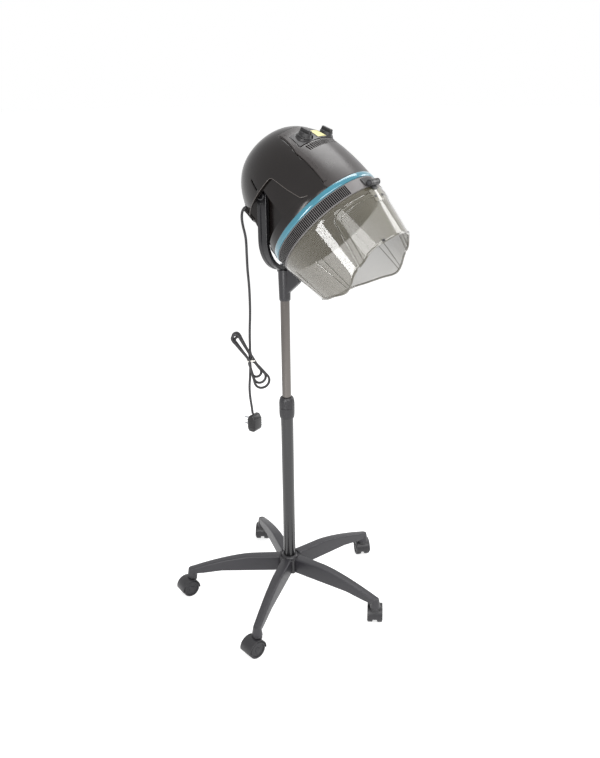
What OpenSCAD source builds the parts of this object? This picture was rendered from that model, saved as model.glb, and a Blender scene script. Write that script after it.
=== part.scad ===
// Hood hair dryer on a five-star caster stand.
// Frame: origin on the column's axis at the floor, +Z up, hood opening towards -Y,
// tilt axis along X. Millimetres.

/* [Base] */
// Distance from the column's axis to each caster's swivel axis
base_reach = 293; // [270:1:330]
// Distance from the column's axis to the flat side of the hub
hub_flat = 30; // [27:1:34]
// Height of the hub's underside above the floor
hub_bottom = 76; // [70:1:80]
// Height of the hub's flat top above the floor
hub_top = 120; // [116:1:126]
// Width of a leg where it meets the hub
leg_root_w = 30; // [24:1:34]
// Width of a leg at its caster
leg_tip_w = 22; // [18:1:26]
// Height of a leg's top at its shoulder
leg_top = 124; // [120:1:128]
// How far a leg's top falls from the shoulder to the caster
leg_drop = 39; // [30:1:44]
// Distance from the column's axis to the shoulder
leg_shoulder = 115; // [100:1:130]
// Wall of the hollow leg
leg_wall = 4; // [3:0.5:6]

/* [Casters] */
// Diameter of a caster wheel
wheel_d = 50; // [46:1:52]
// Width of one wheel of the pair
wheel_w = 15; // [12:0.5:17]
// Width of the body between the two wheels
caster_core_w = 12; // [10:0.5:14]
// Horizontal distance from the swivel axis to the axle
caster_trail = 15; // [12:0.5:18]
// Diameter of the axle
axle_d = 6; // [5:0.5:7]
// Diameter of the swivel stem
stem_d = 11; // [9:0.5:12]
// Length of the swivel stem
stem_len = 22; // [18:1:24]
// Direction in which each caster trails, in degrees from +X
caster_dirs = [30, 45, 30, 160, 167];

/* [Column] */
// Outer diameter of the lower tube
base_tube_d = 35; // [32:1:38]
// Height of the lower tube's top above the floor
base_tube_top = 590; // [540:1:640]
// Wall of both tubes
tube_wall = 1.5; // [1.2:0.1:2]
// Outer diameter of the sliding mast
mast_d = 25; // [22:0.5:27]
// Height of the mast's lower end above the floor
mast_bottom = 300; // [290:1:360]
// Outer diameter of the clamp collar
collar_d = 43; // [42:1:48]
// Length of the collar's fixed lower half
sleeve_len = 30; // [24:1:36]
// Length of the collar's turning upper half
lock_len = 31; // [28:1:38]

/* [Yoke] */
// Outer radius of the fork, which is also half its overall width
fork_r = 90; // [86:1:92]
// Thickness of the fork
arm_t = 12; // [10:0.5:13]
// Width of the fork from front to back
arm_w = 28; // [24:1:30]
// How much less than the casing's radius the pivot stands above the fork's round bottom's centre
fork_tuck = 43; // [39:1:51]
// Height of the pivot above the socket's lower end
socket_drop = 280; // [270:1:290]
// Outer diameter of the socket at its lower end
socket_d = 30; // [28.5:0.5:33]
// Depth of the mast in the socket
socket_depth = 58; // [45:1:60]
// How far the socket's front gusset reaches forward
gusset_reach = 48; // [40:1:52]
// Diameter of the pivot bolts
pivot_bolt_d = 8; // [6:0.5:9]

/* [Hood] */
// Height of the tilt pivot above the floor
pivot_z = 1181; // [1130:1:1230]
// Angle by which the casing leans forward from upright
rake = 47.56; // [44:0.01:50]
// Distance of the pivot behind the casing's axis
axis_off = 42.7; // [41:0.1:45]
// Height of the pivot above the casing's lower edge, along its axis
ring_drop = 139.3; // [138:0.1:141]
// Radius of the casing at its lower edge
casing_r = 151; // [149:1:154]
// Height of the casing along its axis
casing_h = 250; // [246:1:258]
// Wall of the casing
casing_wall = 3; // [2.5:0.1:3.5]
// Depth of the shallow recess round the back
recess_depth = 4.5; // [3:0.1:5]
// Height of the accent ring
ring_h = 14; // [10:1:16]
// Height of the ribbed vent ring
vent_h = 30; // [26:1:32]

/* [Controls] */
// Distance of each knob from the middle
knob_x = 45; // [43:1:47]
// Height of the knobs above the casing's lower edge
knob_z = 158; // [154:1:162]
// Angle by which the knobs look up from the casing's front
knob_tilt = 22; // [18:1:26]
// Diameter of a knob's skirt
knob_d = 38; // [34:1:40]
// Height of a knob
knob_h = 19; // [17:1:22]
// Diameter of the switch shafts
shaft_d = 6; // [5:0.5:7]

/* [Visor] */
// How far the visor's top stands in from the casing
visor_inset = 2; // [1.5:0.1:4]
// How much smaller the visor's radius is at its lower edge
visor_taper = 27.5; // [23:0.5:31]
// Wall of the visor
visor_wall = 3; // [2.5:0.1:3.5]
// Half width of the door at its top
door_half_w = 120; // [114:1:122]
// Distance of the door's top below the casing's edge
door_top = 47; // [44:1:52]
// Radius of the door's upper corners
door_corner = 15; // [10:1:20]
// Diameter of the hinge barrel
barrel_d = 16; // [14:1:17]
// Diameter of the hinge pin
hinge_pin_d = 5; // [4:0.5:6]

/* [Heater and fan] */
// Diameter of the impeller
impeller_d = 120; // [110:1:124]
// Diameter of the motor
motor_d = 70; // [60:1:72]
// Outer radius of the heater frame
heater_r = 62; // [58:1:64]
// Number of impeller blades
blade_count = 12; // [8:1:16]

/* [Cord] */
// Diameter of the cord
cord_d = 7; // [6:0.5:8]
// Height of the cord's outlet above the casing's lower edge
gland_z = 165; // [162:1:170]
// Thickness of the wound hank
hank_t = 20; // [16:1:22]

/* [Fits] */
// Clearance of a part that stays put in its seat
fit = 0.1; // [0.05:0.01:0.15]
// Gap between parts that move past each other
run_gap = 0.3; // [0.2:0.05:0.5]
// Visible seam between panels
seam = 0.4; // [0.3:0.05:0.6]

/* [Hidden] */

$fn = 64;
legs = 5;
first_leg = -90;
leg_step = 360 / legs;

wheel_r = wheel_d / 2;
mudguard_in = wheel_r + 1;
mudguard_r = wheel_r + 3.5;
caster_top = wheel_r + sqrt(pow(mudguard_r, 2) - pow(caster_trail, 2)) + 6;
caster_w = caster_core_w + 2 * (wheel_w + run_gap);
leg_boss_bottom = caster_top + run_gap;
leg_boss_r = stem_d / 2 + 8;
leg_root_bottom = hub_bottom + 2;

tube_seat = hub_bottom + 6;
base_bolt_r = 5;
sleeve_top = base_tube_top + 7;
sleeve_bottom = sleeve_top - sleeve_len;
lock_top = sleeve_top + run_gap + lock_len;
collet_bottom = base_tube_top - 30;
collet_r = base_tube_d / 2 - 0.2;

arm_in = fork_r - arm_t;
fork_rise = casing_r - fork_tuck;
fork_z = pivot_z - fork_rise;
socket_bottom = pivot_z - socket_drop;
mast_top = socket_bottom + socket_depth;
saddle_top = fork_z - fork_r + 7;
cheek = 3;
well_x = arm_in - 4;

dome_p = 2.45;
dome_q = 2.85;
lip_gap = 0.4;
trim_lip_r = casing_r - casing_wall - lip_gap;
trim_in_r = casing_r - 7;
ring_r = casing_r + 1.5;
vent_r = casing_r - 1;
vent_in_r = vent_r - 4;
visor_r = casing_r - visor_inset;
visor_low_r = visor_r - visor_taper;
bowl_skirt_r = visor_r - 21;
bowl_skirt = 44;
bowl_wall = 2.5;
bowl_top = 28;
bowl_flat_r = bowl_skirt_r - 56;
bowl_edge_r = bowl_skirt_r - 28;
hole_pitch = bowl_flat_r / 3 - 3;
flange_t = 2.5;
screw_ring_r = casing_r - 12;
side_slot_w = 4.4;
side_slot_h = 33;
side_slot_z = ring_drop - 7;
reach = 2 * casing_r;

seat_r = knob_d / 2 + 1.5;
seat_back = 8;
switch_back = seat_back + 2;
seat_y = dome_r(knob_z) * cos(asin(knob_x / dome_r(knob_z))) - 2;
shaft_out = knob_h - 7;
switch_w = 32;
switch_t = 26;

hinge_z = -vent_h + 3;
hinge_gap = 0.5;
hinge_y = vent_r + barrel_d / 2 + hinge_gap;
knuckle = 10;
barrel_len = 40;
visor_low = 200;
visor_bend = 38;

impeller_top = 90;
impeller_bottom = 62;
bracket_z = impeller_top + 2;
bracket_t = 2.5;
motor_z = bracket_z + bracket_t;
motor_len = 68;
coil_r = 48;
coil_wire = 5;
coil_pitch = 5.65;
heater_z = 38;
mica_t = 1.5;
heater_h = 2 * mica_t + coil_wire + 2 * coil_pitch + 0.7;

gland_boss = 4.8;
relief_len = 27;
cord_r = cord_d / 2;
cord_gap = cord_r + run_gap;
gland_pos = hood_point([0, dome_r(gland_z), gland_z]);
cord_start = gland_pos + [0, relief_len + cord_gap, 0];
cord_route = [
    [0, 120, 1134], [0, 130, 1126], [0, 135, 1110], [0, 133, 1088],
    [0, 126, 1061], [0, 124, 1048], [0, 123, 1008], [0, 122, 968], [0, 119, 927],
    [0, 118, 885], [0, 119, 843], [0, 122, 799], [0, 123, 760], [0, 121, 729]
];
cord_tail = [
    [0, 125, 688], [0, 127, 660], [0, 130, 629], [0, 129, 600], [0, 125, 572], [0, 122, 549]
];
hank_pos = [0, 121, 711];
hank_turn = -36.87;
hank_waist = 10;
plug_pos = [0, 116, 524];
plug_size = [36, 26, 50];
pin_gap = 19;
pin_len = 22;
pin_d = 4.8;

// Radius of the casing's outside at height z above its lower edge
function dome_r(z, inset = 0) =
    (casing_r - inset) * pow(1 - pow(z / (casing_h - inset), dome_p), 1 / dome_q);

// Turns a point from the casing's own frame into the model's frame at rest
function hood_point(p) = [
    p.x,
    (p.y - axis_off) * cos(rake) + (p.z - ring_drop) * sin(rake),
    pivot_z - (p.y - axis_off) * sin(rake) + (p.z - ring_drop) * cos(rake)
];

// Catmull-Rom point between b and c
function spline_at(a, b, c, d, t) =
    0.5 * (2 * b + (c - a) * t + (2 * a - 5 * b + 4 * c - d) * t * t + (3 * b - a - 3 * c + d) * t * t * t);

// Points along a route, n to each stretch
function spline(r, n) = concat(
    [for (i = [0:len(r) - 2], k = [0:n - 1])
        spline_at(r[max(i - 1, 0)], r[i], r[i + 1], r[min(i + 2, len(r) - 1)], k / n)],
    [r[len(r) - 1]]
);

// Ring of n points round p, square to the direction t, for a route in the YZ plane
function tube_ring(p, t, r, n) =
    let(side = [1, 0, 0], up = cross(t, side) / norm(cross(t, side)))
    [for (i = [0:n - 1]) p + r * (cos(360 * i / n) * side + sin(360 * i / n) * up)];

// Round tube swept along the points p, with the radii r
module tube(p, r, n = 10) {
    last = len(p) - 1;
    rings = [for (i = [0:last]) tube_ring(p[i], p[min(i + 1, last)] - p[max(i - 1, 0)], r[i], n)];
    sides = [for (i = [0:last - 1], k = [0:n - 1])
        [i * n + k, i * n + (k + 1) % n, (i + 1) * n + (k + 1) % n, (i + 1) * n + k]];
    first_cap = [for (k = [0:n - 1]) n - 1 - k];
    last_cap = [for (k = [0:n - 1]) last * n + k];
    polyhedron([for (ring = rings) each ring], concat([first_cap, last_cap], sides), convexity = 6);
}

// Straight pipe along Z
module pipe(r_out, r_in, h) {
    difference() {
        cylinder(r = r_out, h = h);
        translate([0, 0, -1])
            cylinder(r = r_in, h = h + 2);
    }
}

module on_leg(i) {
    rotate([0, 0, first_leg + leg_step * i])
        children();
}

module at_caster(i) {
    a = first_leg + leg_step * i;
    translate([base_reach * cos(a), base_reach * sin(a), 0])
        rotate([0, 0, caster_dirs[i]])
            children();
}

module in_casing() {
    translate([0, 0, pivot_z])
        rotate([-rake, 0, 0])
            translate([0, -axis_off, -ring_drop])
                children();
}

module both_sides() {
    children();
    mirror([1, 0, 0])
        children();
}

// Outline drawn in the YZ plane and extended along X
module across(length) {
    rotate([90, 0, 90])
        linear_extrude(height = length, center = true)
            children();
}

// Outline drawn in the XZ plane and extended from y0 to y1
module along_y(y0, y1) {
    rotate([90, 0, 0])
        translate([0, 0, -y1])
            linear_extrude(height = y1 - y0)
                children();
}

// ---- Base ----

module base_hub() {
    color("#2b2b2d")
        difference() {
            union() {
                translate([0, 0, hub_bottom])
                    rotate([0, 0, 18])
                        cylinder(r = hub_flat / cos(180 / legs), h = hub_top - hub_bottom, $fn = 5);
                translate([0, 0, hub_top])
                    cylinder(r1 = hub_flat - 4, r2 = base_tube_d / 2 + 3, h = 6);
            }
            translate([0, 0, tube_seat])
                cylinder(r = base_tube_d / 2 + fit, h = hub_top);
            translate([0, 0, hub_bottom - 1])
                cylinder(r = base_bolt_r + fit, h = 20);
        }
}

function leg_top_at(x) =
    leg_top - leg_drop * pow(max(0, (x - leg_shoulder) / (base_reach - leg_shoulder)), 1.5);

module leg_side(inset) {
    steps = 8;
    boss_in = base_reach - leg_boss_r;
    top = [for (i = [0:steps])
        let(x = leg_shoulder + (base_reach - leg_shoulder) * i / steps) [x, leg_top_at(x) - inset]];
    polygon(concat(
        [[hub_flat, leg_root_bottom - inset], [hub_flat, leg_top - 2 - inset]],
        top,
        [[base_reach, leg_boss_bottom + 13 - inset], [boss_in - 20, leg_boss_bottom + 15 - inset],
         [boss_in - 75, leg_root_bottom - inset]]
    ));
}

module leg(i) {
    cell = 44;
    cells = 4;
    color("#333236")
        on_leg(i)
            difference() {
                union() {
                    intersection() {
                        along_y(-leg_root_w, leg_root_w)
                            leg_side(0);
                        linear_extrude(height = leg_top + 10)
                            polygon([
                                [hub_flat, -leg_root_w / 2], [base_reach, -leg_tip_w / 2],
                                [base_reach, leg_tip_w / 2], [hub_flat, leg_root_w / 2]
                            ]);
                    }
                    translate([base_reach, 0, leg_boss_bottom])
                        cylinder(r1 = leg_boss_r + 1, r2 = leg_tip_w / 2, h = stem_len + 4);
                }
                for (k = [0:cells - 1])
                    intersection() {
                        along_y(-leg_root_w, leg_root_w)
                            leg_side(leg_wall);
                        translate([hub_flat + leg_wall + k * cell, leg_wall - leg_tip_w / 2, 0])
                            cube([cell - leg_wall, leg_tip_w - 2 * leg_wall, leg_top]);
                    }
                translate([base_reach, 0, leg_boss_bottom - 1])
                    cylinder(r = stem_d / 2 + fit, h = stem_len + 1.5);
            }
}

// ---- Casters ----

module caster_housing(i) {
    color("#2a2a2c")
        at_caster(i) {
            difference() {
                union() {
                    intersection() {
                        translate([caster_trail, caster_w / 2, wheel_r])
                            rotate([90, 0, 0])
                                cylinder(r = mudguard_r, h = caster_w);
                        translate([-wheel_d, -wheel_d, wheel_r - 4])
                            cube([2 * wheel_d, 2 * wheel_d, wheel_d]);
                    }
                    translate([caster_trail, caster_core_w / 2, wheel_r])
                        rotate([90, 0, 0])
                            cylinder(r = wheel_r - 6, h = caster_core_w);
                    translate([0, 0, wheel_r + 10])
                        cylinder(r = leg_boss_r, h = caster_top - wheel_r - 10);
                }
                for (side = [0, 1])
                    mirror([0, side, 0])
                        translate([caster_trail, 2 * wheel_d + caster_core_w / 2, wheel_r])
                            rotate([90, 0, 0])
                                cylinder(r = mudguard_in, h = 2 * wheel_d);
                translate([caster_trail, wheel_d, wheel_r])
                    rotate([90, 0, 0])
                        cylinder(d = axle_d + 0.1, h = 2 * wheel_d);
            }
            translate([0, 0, caster_top])
                cylinder(d = stem_d, h = stem_len);
        }
}

module caster_wheels(i) {
    color("#1d1d1f")
        at_caster(i)
            translate([caster_trail, 0, wheel_r])
                rotate([90, 0, 0]) {
                    for (side = [0, 1])
                        mirror([0, 0, side])
                            translate([0, 0, caster_core_w / 2 + run_gap])
                                difference() {
                                    cylinder(r = wheel_r, h = wheel_w);
                                    translate([0, 0, wheel_w - 2])
                                        pipe(wheel_r - 6, axle_d, 3);
                                }
                    translate([0, 0, -caster_w / 2])
                        cylinder(d = axle_d, h = caster_w);
                }
}

// ---- Column ----

module base_tube() {
    color("#17171a")
        difference() {
            translate([0, 0, tube_seat])
                cylinder(d = base_tube_d, h = base_tube_top - tube_seat);
            translate([0, 0, tube_seat + 14])
                cylinder(r = base_tube_d / 2 - tube_wall, h = base_tube_top);
            translate([0, 0, tube_seat - 1])
                cylinder(r = base_bolt_r + fit, h = 20);
        }
}

module base_bolt() {
    color("#8d8f94") {
        translate([0, 0, hub_bottom - 6])
            cylinder(r = 2 * base_bolt_r - 1, h = 6, $fn = 6);
        translate([0, 0, hub_bottom])
            cylinder(r = base_bolt_r, h = 20);
    }
}

module collar_sleeve() {
    color("#2c2c2e")
        translate([0, 0, sleeve_bottom])
            difference() {
                union() {
                    cylinder(d1 = collar_d - 3, d2 = collar_d, h = 4);
                    translate([0, 0, 4])
                        cylinder(d = collar_d, h = sleeve_len - 4);
                }
                translate([0, 0, -1])
                    cylinder(r = base_tube_d / 2 + fit, h = sleeve_len + 2);
            }
}

// Split sleeve that the collar squeezes on the mast; its flange rests on the lower tube
module collet() {
    bore = mast_d / 2 + fit / 2;
    color("#3a3a3c")
        difference() {
            union() {
                translate([0, 0, collet_bottom])
                    cylinder(r = base_tube_d / 2 - tube_wall - fit, h = base_tube_top - collet_bottom);
                translate([0, 0, base_tube_top])
                    cylinder(r = collet_r, h = lock_top - base_tube_top - 5);
            }
            translate([0, 0, collet_bottom - 1])
                cylinder(r = bore, h = lock_top);
            for (a = [0:90:270])
                rotate([0, 0, a + 45])
                    translate([bore - 1, -0.75, sleeve_top + 6])
                        cube([base_tube_d, 1.5, lock_len]);
        }
}

module lock_collar() {
    taper = 6;
    grips = 16;
    color("#262628")
        translate([0, 0, sleeve_top + run_gap])
            difference() {
                union() {
                    cylinder(d = collar_d, h = lock_len - taper);
                    translate([0, 0, lock_len - taper])
                        cylinder(d1 = collar_d, d2 = mast_d + 8, h = taper);
                }
                translate([0, 0, -1])
                    cylinder(r = collet_r + 0.08, h = lock_len - 3.5);
                cylinder(r = mast_d / 2 + run_gap, h = lock_len + 1);
                for (k = [0:grips - 1])
                    rotate([0, 0, k * 360 / grips])
                        translate([collar_d / 2 + 0.5, 0, 4])
                            cylinder(r = 1.5, h = lock_len - taper - 7);
            }
}

module mast_tube() {
    color("#d8dade")
        translate([0, 0, mast_bottom]) {
            pipe(mast_d / 2, mast_d / 2 - tube_wall, mast_top - mast_bottom);
            pipe(base_tube_d / 2 - tube_wall - run_gap, mast_d / 2, 12);
        }
}

// ---- Yoke ----

module fork_outline() {
    difference() {
        union() {
            translate([0, fork_z])
                circle(r = fork_r);
            translate([-fork_r, fork_z])
                square([2 * fork_r, fork_rise + arm_w / 2]);
        }
        translate([0, fork_z])
            circle(r = arm_in);
        translate([-arm_in, fork_z])
            square([2 * arm_in, fork_rise + arm_w]);
    }
}

module yoke_fork() {
    groove_w = 8;
    groove_d = 2;
    color("#2e2d30")
        difference() {
            intersection() {
                along_y(-arm_w / 2, arm_w / 2)
                    fork_outline();
                across(3 * fork_r)
                    union() {
                        translate([-arm_w, fork_z - 2 * fork_r])
                            square([2 * arm_w, 2 * fork_r + fork_rise]);
                        translate([0, pivot_z])
                            circle(d = arm_w);
                    }
            }
            both_sides()
                translate([fork_r - groove_d, -groove_w / 2, fork_z])
                    cube([arm_t, groove_w, fork_rise - 20]);
            intersection() {
                translate([0, groove_w / 2, fork_z])
                    rotate([90, 0, 0])
                        pipe(fork_r + 5, fork_r - groove_d, groove_w);
                translate([-fork_r, -groove_w, fork_z - 2 * fork_r])
                    cube([2 * fork_r, 2 * groove_w, 2 * fork_r]);
                both_sides()
                    translate([socket_d, -groove_w, fork_z - 2 * fork_r])
                        cube([2 * fork_r, 2 * groove_w, 2 * fork_r]);
            }
            translate([-2 * fork_r, 0, pivot_z])
                rotate([0, 90, 0])
                    cylinder(d = pivot_bolt_d + 2 * fit, h = 4 * fork_r);
            for (side = [-1, 1])
                translate([0, side * 8, fork_z - fork_r - 1])
                    cylinder(r = 2.5 + fit, h = 2 * arm_t);
        }
}

module yoke_socket() {
    top_r = arm_w / 2 + cheek;
    color("#38373a")
        difference() {
            union() {
                translate([0, 0, socket_bottom])
                    cylinder(d1 = socket_d, r2 = top_r, h = saddle_top - socket_bottom);
                across(18)
                    polygon([
                        [0, socket_bottom + 4], [-socket_d / 2, socket_bottom + 22],
                        [-gusset_reach + 1, socket_bottom + 50], [-gusset_reach, socket_bottom + 70],
                        [-top_r, saddle_top], [0, saddle_top]
                    ]);
            }
            intersection() {
                along_y(-arm_w / 2 - fit / 2, arm_w / 2 + fit / 2)
                    translate([0, fork_z])
                        circle(r = fork_r + fit / 2);
                translate([-fork_r, -fork_r, 0])
                    cube([2 * fork_r, 2 * fork_r, 2 * pivot_z]);
            }
            translate([0, 0, socket_bottom - 1])
                cylinder(r = mast_d / 2 + fit / 2, h = socket_depth + 1);
            for (side = [-1, 1])
                translate([0, side * 8, mast_top + 4])
                    cylinder(r = 2.5 + fit, h = 3 * arm_t);
        }
}

module socket_screws() {
    head_r = 4.5;
    head_z = fork_z - sqrt(pow(arm_in, 2) - pow(head_r + fit, 2));
    color("#9a9ca0")
        for (side = [-1, 1])
            translate([0, side * 8, 0]) {
                translate([0, 0, mast_top + 5])
                    cylinder(r = 2.5, h = head_z - mast_top - 4);
                translate([0, 0, head_z])
                    cylinder(r = head_r, h = 2.5);
            }
}

module pivot_bolts() {
    color("#a5a7ab")
        both_sides()
            translate([0, 0, pivot_z])
                rotate([0, 90, 0]) {
                    translate([0, 0, well_x - casing_wall - 8])
                        cylinder(d = pivot_bolt_d, h = fork_r - well_x + casing_wall + 8);
                    translate([0, 0, well_x - casing_wall - 6.5 - fit])
                        cylinder(r = pivot_bolt_d * 0.9, h = 6.5, $fn = 6);
                    translate([0, 0, fork_r])
                        cylinder(r = 7, h = 2);
                }
}

module pivot_caps() {
    cap_r = 11.5;
    color("#2e2d30")
        both_sides()
            translate([fork_r, 0, pivot_z])
                rotate([0, 90, 0])
                    difference() {
                        union() {
                            cylinder(r = cap_r, h = 3);
                            translate([0, 0, 3])
                                cylinder(r1 = cap_r, r2 = cap_r - 2.5, h = 2);
                        }
                        translate([0, 0, -1])
                            cylinder(r = 7 + fit, h = 3 + fit);
                    }
}

module friction_washers() {
    color("#7b6a4a")
        both_sides()
            translate([well_x + fit, 0, pivot_z])
                rotate([0, 90, 0])
                    pipe(13, pivot_bolt_d / 2 + fit, arm_in - well_x - 2 * fit);
}

// ---- Casing ----

// Solid dome, inset all round
module dome(inset = 0) {
    step = 5;
    rotate_extrude()
        polygon(concat([[0, 0]], [for (a = [0:step:90]) [
            (casing_r - inset) * pow(cos(a), 2 / dome_q),
            (casing_h - inset) * pow(sin(a), 2 / dome_p)
        ]]));
}

// Side view of the shallow recess round the back, grown by g
module recess_zone(g = 0) {
    across(reach + 40)
        polygon([
            [-36 - g, 125 + g], [-42 - g, 110], [-52 - g, 72], [-63 - g, 36],
            [-76 - g, 31 - g], [reach, 31 - g], [reach, 125 + g]
        ]);
}

// Deep slots for the fork's arms, grown by g
module arm_wells(g = 0) {
    front = axis_off - 1.5 * arm_w - 2;
    floor_z = 38;
    roof_z = ring_drop + arm_w / 2 + 4;
    both_sides()
        along_y(front - g, reach)
            polygon([
                [well_x - g, floor_z - g], [reach, floor_z - g], [reach, 125 + g],
                [125 + g / 2, 125 + g], [97 + g / 2, roof_z + g], [well_x - g, roof_z + g]
            ]);
}

// Opening of the front panel, grown by g
module front_zone(g = 0) {
    low_w = knob_x + 56 + g;
    mid_w = knob_x + 49 + g;
    top_w = knob_x + 26 + g;
    low_z = ring_h - 2 * casing_wall;
    mid_z = knob_z - 30;
    top_z = knob_z + 46 + g;
    along_y(-reach, -60)
        polygon([
            [-low_w, low_z], [low_w, low_z], [mid_w, mid_z],
            [top_w, top_z], [-top_w, top_z], [-mid_w, mid_z]
        ]);
}

// Opening of the control panel, grown by g
module control_zone(g = 0) {
    low_w = knob_x + seat_r + 12 + g;
    top_w = knob_x + 22 + g;
    low_z = knob_z - 20 - g;
    top_z = knob_z + 20 + g;
    along_y(-reach, -60)
        polygon([[-low_w, low_z], [low_w, low_z], [top_w, top_z], [-top_w, top_z]]);
}

module at_knob(side) {
    translate([side * knob_x, -seat_y, knob_z])
        rotate([90 - knob_tilt, 0, 0])
            children();
}

module at_gland() {
    translate([0, dome_r(gland_z), gland_z])
        rotate([rake - 90, 0, 0])
            children();
}

module below_trim() {
    translate([0, 0, -reach])
        cylinder(r = reach, h = reach + ring_h);
}

module rear_casing() {
    color("#2d2b2c")
        in_casing()
            difference() {
                union() {
                    difference() {
                        dome();
                        difference() {
                            recess_zone();
                            dome(recess_depth);
                        }
                        difference() {
                            dome(casing_wall);
                            difference() {
                                recess_zone(casing_wall);
                                dome(recess_depth + casing_wall);
                            }
                            arm_wells(casing_wall);
                        }
                    }
                    at_gland()
                        translate([0, 0, -4])
                            cylinder(r = 11, h = gland_boss + 4);
                }
                arm_wells();
                front_zone();
                below_trim();
                translate([-reach, axis_off, ring_drop])
                    rotate([0, 90, 0])
                        cylinder(r = pivot_bolt_d / 2 + fit, h = 2 * reach);
                at_gland()
                    translate([0, 0, -20])
                        cylinder(r = 6, h = 40);
                both_sides()
                    rotate([0, 0, 5])
                        translate([casing_r - 27, -side_slot_w / 2, side_slot_z])
                            cube([70, side_slot_w, side_slot_h]);
            }
}

module front_panel() {
    slots = 25;
    slot_pitch = 5.6;
    slot_w = 2.4;
    slot_h = 17;
    slot_low = knob_z - 42;
    color("#353334")
        in_casing()
            difference() {
                union() {
                    intersection() {
                        difference() {
                            dome();
                            dome(casing_wall);
                        }
                        front_zone(-seam);
                    }
                    intersection() {
                        difference() {
                            dome(-2.5);
                            dome(casing_wall);
                        }
                        difference() {
                            front_zone(-seam);
                            front_zone(-8);
                        }
                    }
                }
                below_trim();
                control_zone(seam);
                for (side = [-1, 1])
                    at_knob(side)
                        translate([0, 0, -seat_back])
                            cylinder(r = seat_r + seam, h = 60);
                for (k = [0:slots - 1])
                    translate([(k - (slots - 1) / 2) * slot_pitch - slot_w / 2, -reach, slot_low])
                        cube([slot_w, reach, slot_h]);
            }
}

module control_panel() {
    color("#1f1e20")
        in_casing()
            difference() {
                union() {
                    intersection() {
                        difference() {
                            dome(-1);
                            dome(casing_wall);
                        }
                        control_zone();
                    }
                    for (side = [-1, 1])
                        at_knob(side)
                            translate([0, 0, -seat_back])
                                cylinder(r = seat_r, h = seat_back);
                }
                for (side = [-1, 1])
                    at_knob(side) {
                        cylinder(r = seat_r, h = 40);
                        translate([0, 0, -20])
                            cylinder(r = shaft_d / 2 + 2, h = 40);
                    }
            }
}

module dial_plate() {
    half_w = knob_x - seat_r - 2;
    low_z = knob_z - 13;
    top_z = knob_z + 14;
    color("#d9cf7a")
        in_casing()
            intersection() {
                difference() {
                    dome(-1.8);
                    dome(-1 - fit / 2);
                }
                along_y(-reach, -60)
                    polygon([[-half_w, low_z], [half_w, low_z], [half_w, top_z], [-half_w, top_z]]);
            }
}

module knob(side) {
    grip_r = knob_d / 2 - 3;
    color("#161618")
        in_casing()
            at_knob(side)
                translate([0, 0, run_gap])
                    difference() {
                        union() {
                            cylinder(d1 = knob_d, d2 = knob_d - 3, h = 5);
                            translate([0, 0, 5])
                                cylinder(r1 = grip_r, r2 = grip_r - 1, h = knob_h - 12);
                            translate([-5, -knob_d / 2 + 3, 5])
                                cube([10, knob_d - 6, knob_h - 5]);
                        }
                        translate([0, 0, -1])
                            cylinder(r = shaft_d / 2 + 0.05, h = shaft_out + 1);
                    }
}

module switch_body(side) {
    color("#6b6b6e")
        in_casing()
            at_knob(side) {
                translate([-switch_w / 2, -switch_w / 2, -switch_back - switch_t])
                    cube([switch_w, switch_w, switch_t]);
                translate([0, 0, -switch_back])
                    cylinder(r = shaft_d / 2 + 1.9, h = switch_back - 1);
                translate([0, 0, -switch_back])
                    cylinder(d = shaft_d, h = switch_back + shaft_out);
            }
}

module trim_ring() {
    color("#4fa9b8")
        in_casing()
            difference() {
                union() {
                    rotate_extrude()
                        polygon([
                            [trim_in_r, 0], [ring_r - 1, 0], [ring_r, 1], [ring_r, ring_h - 1],
                            [ring_r - 1, ring_h], [trim_lip_r, ring_h], [trim_lip_r, ring_h + 8],
                            [trim_in_r, ring_h + 8]
                        ]);
                    for (a = [45:90:315])
                        rotate([0, 0, a])
                            translate([screw_ring_r, 0, 0])
                                cylinder(r = 5.5, h = ring_h - 2);
                }
                for (a = [45:90:315])
                    rotate([0, 0, a])
                        translate([screw_ring_r, 0, -1])
                            cylinder(r = 1.9 + fit, h = ring_h - 2);
            }
}

module vent_ring() {
    color("#3f3e40")
        in_casing()
            rotate_extrude()
                polygon([
                    [vent_in_r, -vent_h], [vent_r - 1, -vent_h], [vent_r, 1 - vent_h],
                    [vent_r, -1], [vent_r - 1, 0], [vent_in_r, 0]
                ]);
}

// Perforated bowl between the warm air and the head
module inner_bowl() {
    color("#b9b7b2")
        in_casing()
            difference() {
                rotate_extrude()
                    polygon([
                        [0, bowl_top], [bowl_flat_r, bowl_top], [bowl_edge_r, 20], [bowl_skirt_r - 8, 5],
                        [bowl_skirt_r - 6, 0],
                        [vent_in_r - fit, 0], [vent_in_r - fit, -flange_t], [bowl_skirt_r - 5, -flange_t],
                        [bowl_skirt_r, -15], [bowl_skirt_r, -bowl_skirt],
                        [bowl_skirt_r - bowl_wall, -bowl_skirt], [bowl_skirt_r - bowl_wall, -15],
                        [bowl_skirt_r - 8 - bowl_wall, 4], [bowl_edge_r - 1, 20 - bowl_wall],
                        [bowl_flat_r - 1, bowl_top - bowl_wall], [0, bowl_top - bowl_wall]
                    ]);
                for (ring = [1:3])
                    for (k = [0:6 * ring - 1])
                        rotate([0, 0, 360 * k / (6 * ring)])
                            translate([hole_pitch * ring, 0, 10])
                                cylinder(r = 5, h = 30);
                for (a = [45:90:315])
                    rotate([0, 0, a])
                        translate([screw_ring_r, 0, -10])
                            cylinder(r = 1.9 + fit, h = 20);
            }
}

// ---- Heater and fan ----

module motor() {
    color("#8a8c90")
        in_casing() {
            translate([0, 0, motor_z])
                cylinder(d = motor_d, h = motor_len);
            translate([0, 0, motor_z + motor_len])
                cylinder(r = 11, h = 5);
            translate([0, 0, impeller_bottom + 1])
                cylinder(r = 3, h = motor_z - impeller_bottom);
        }
}

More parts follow.
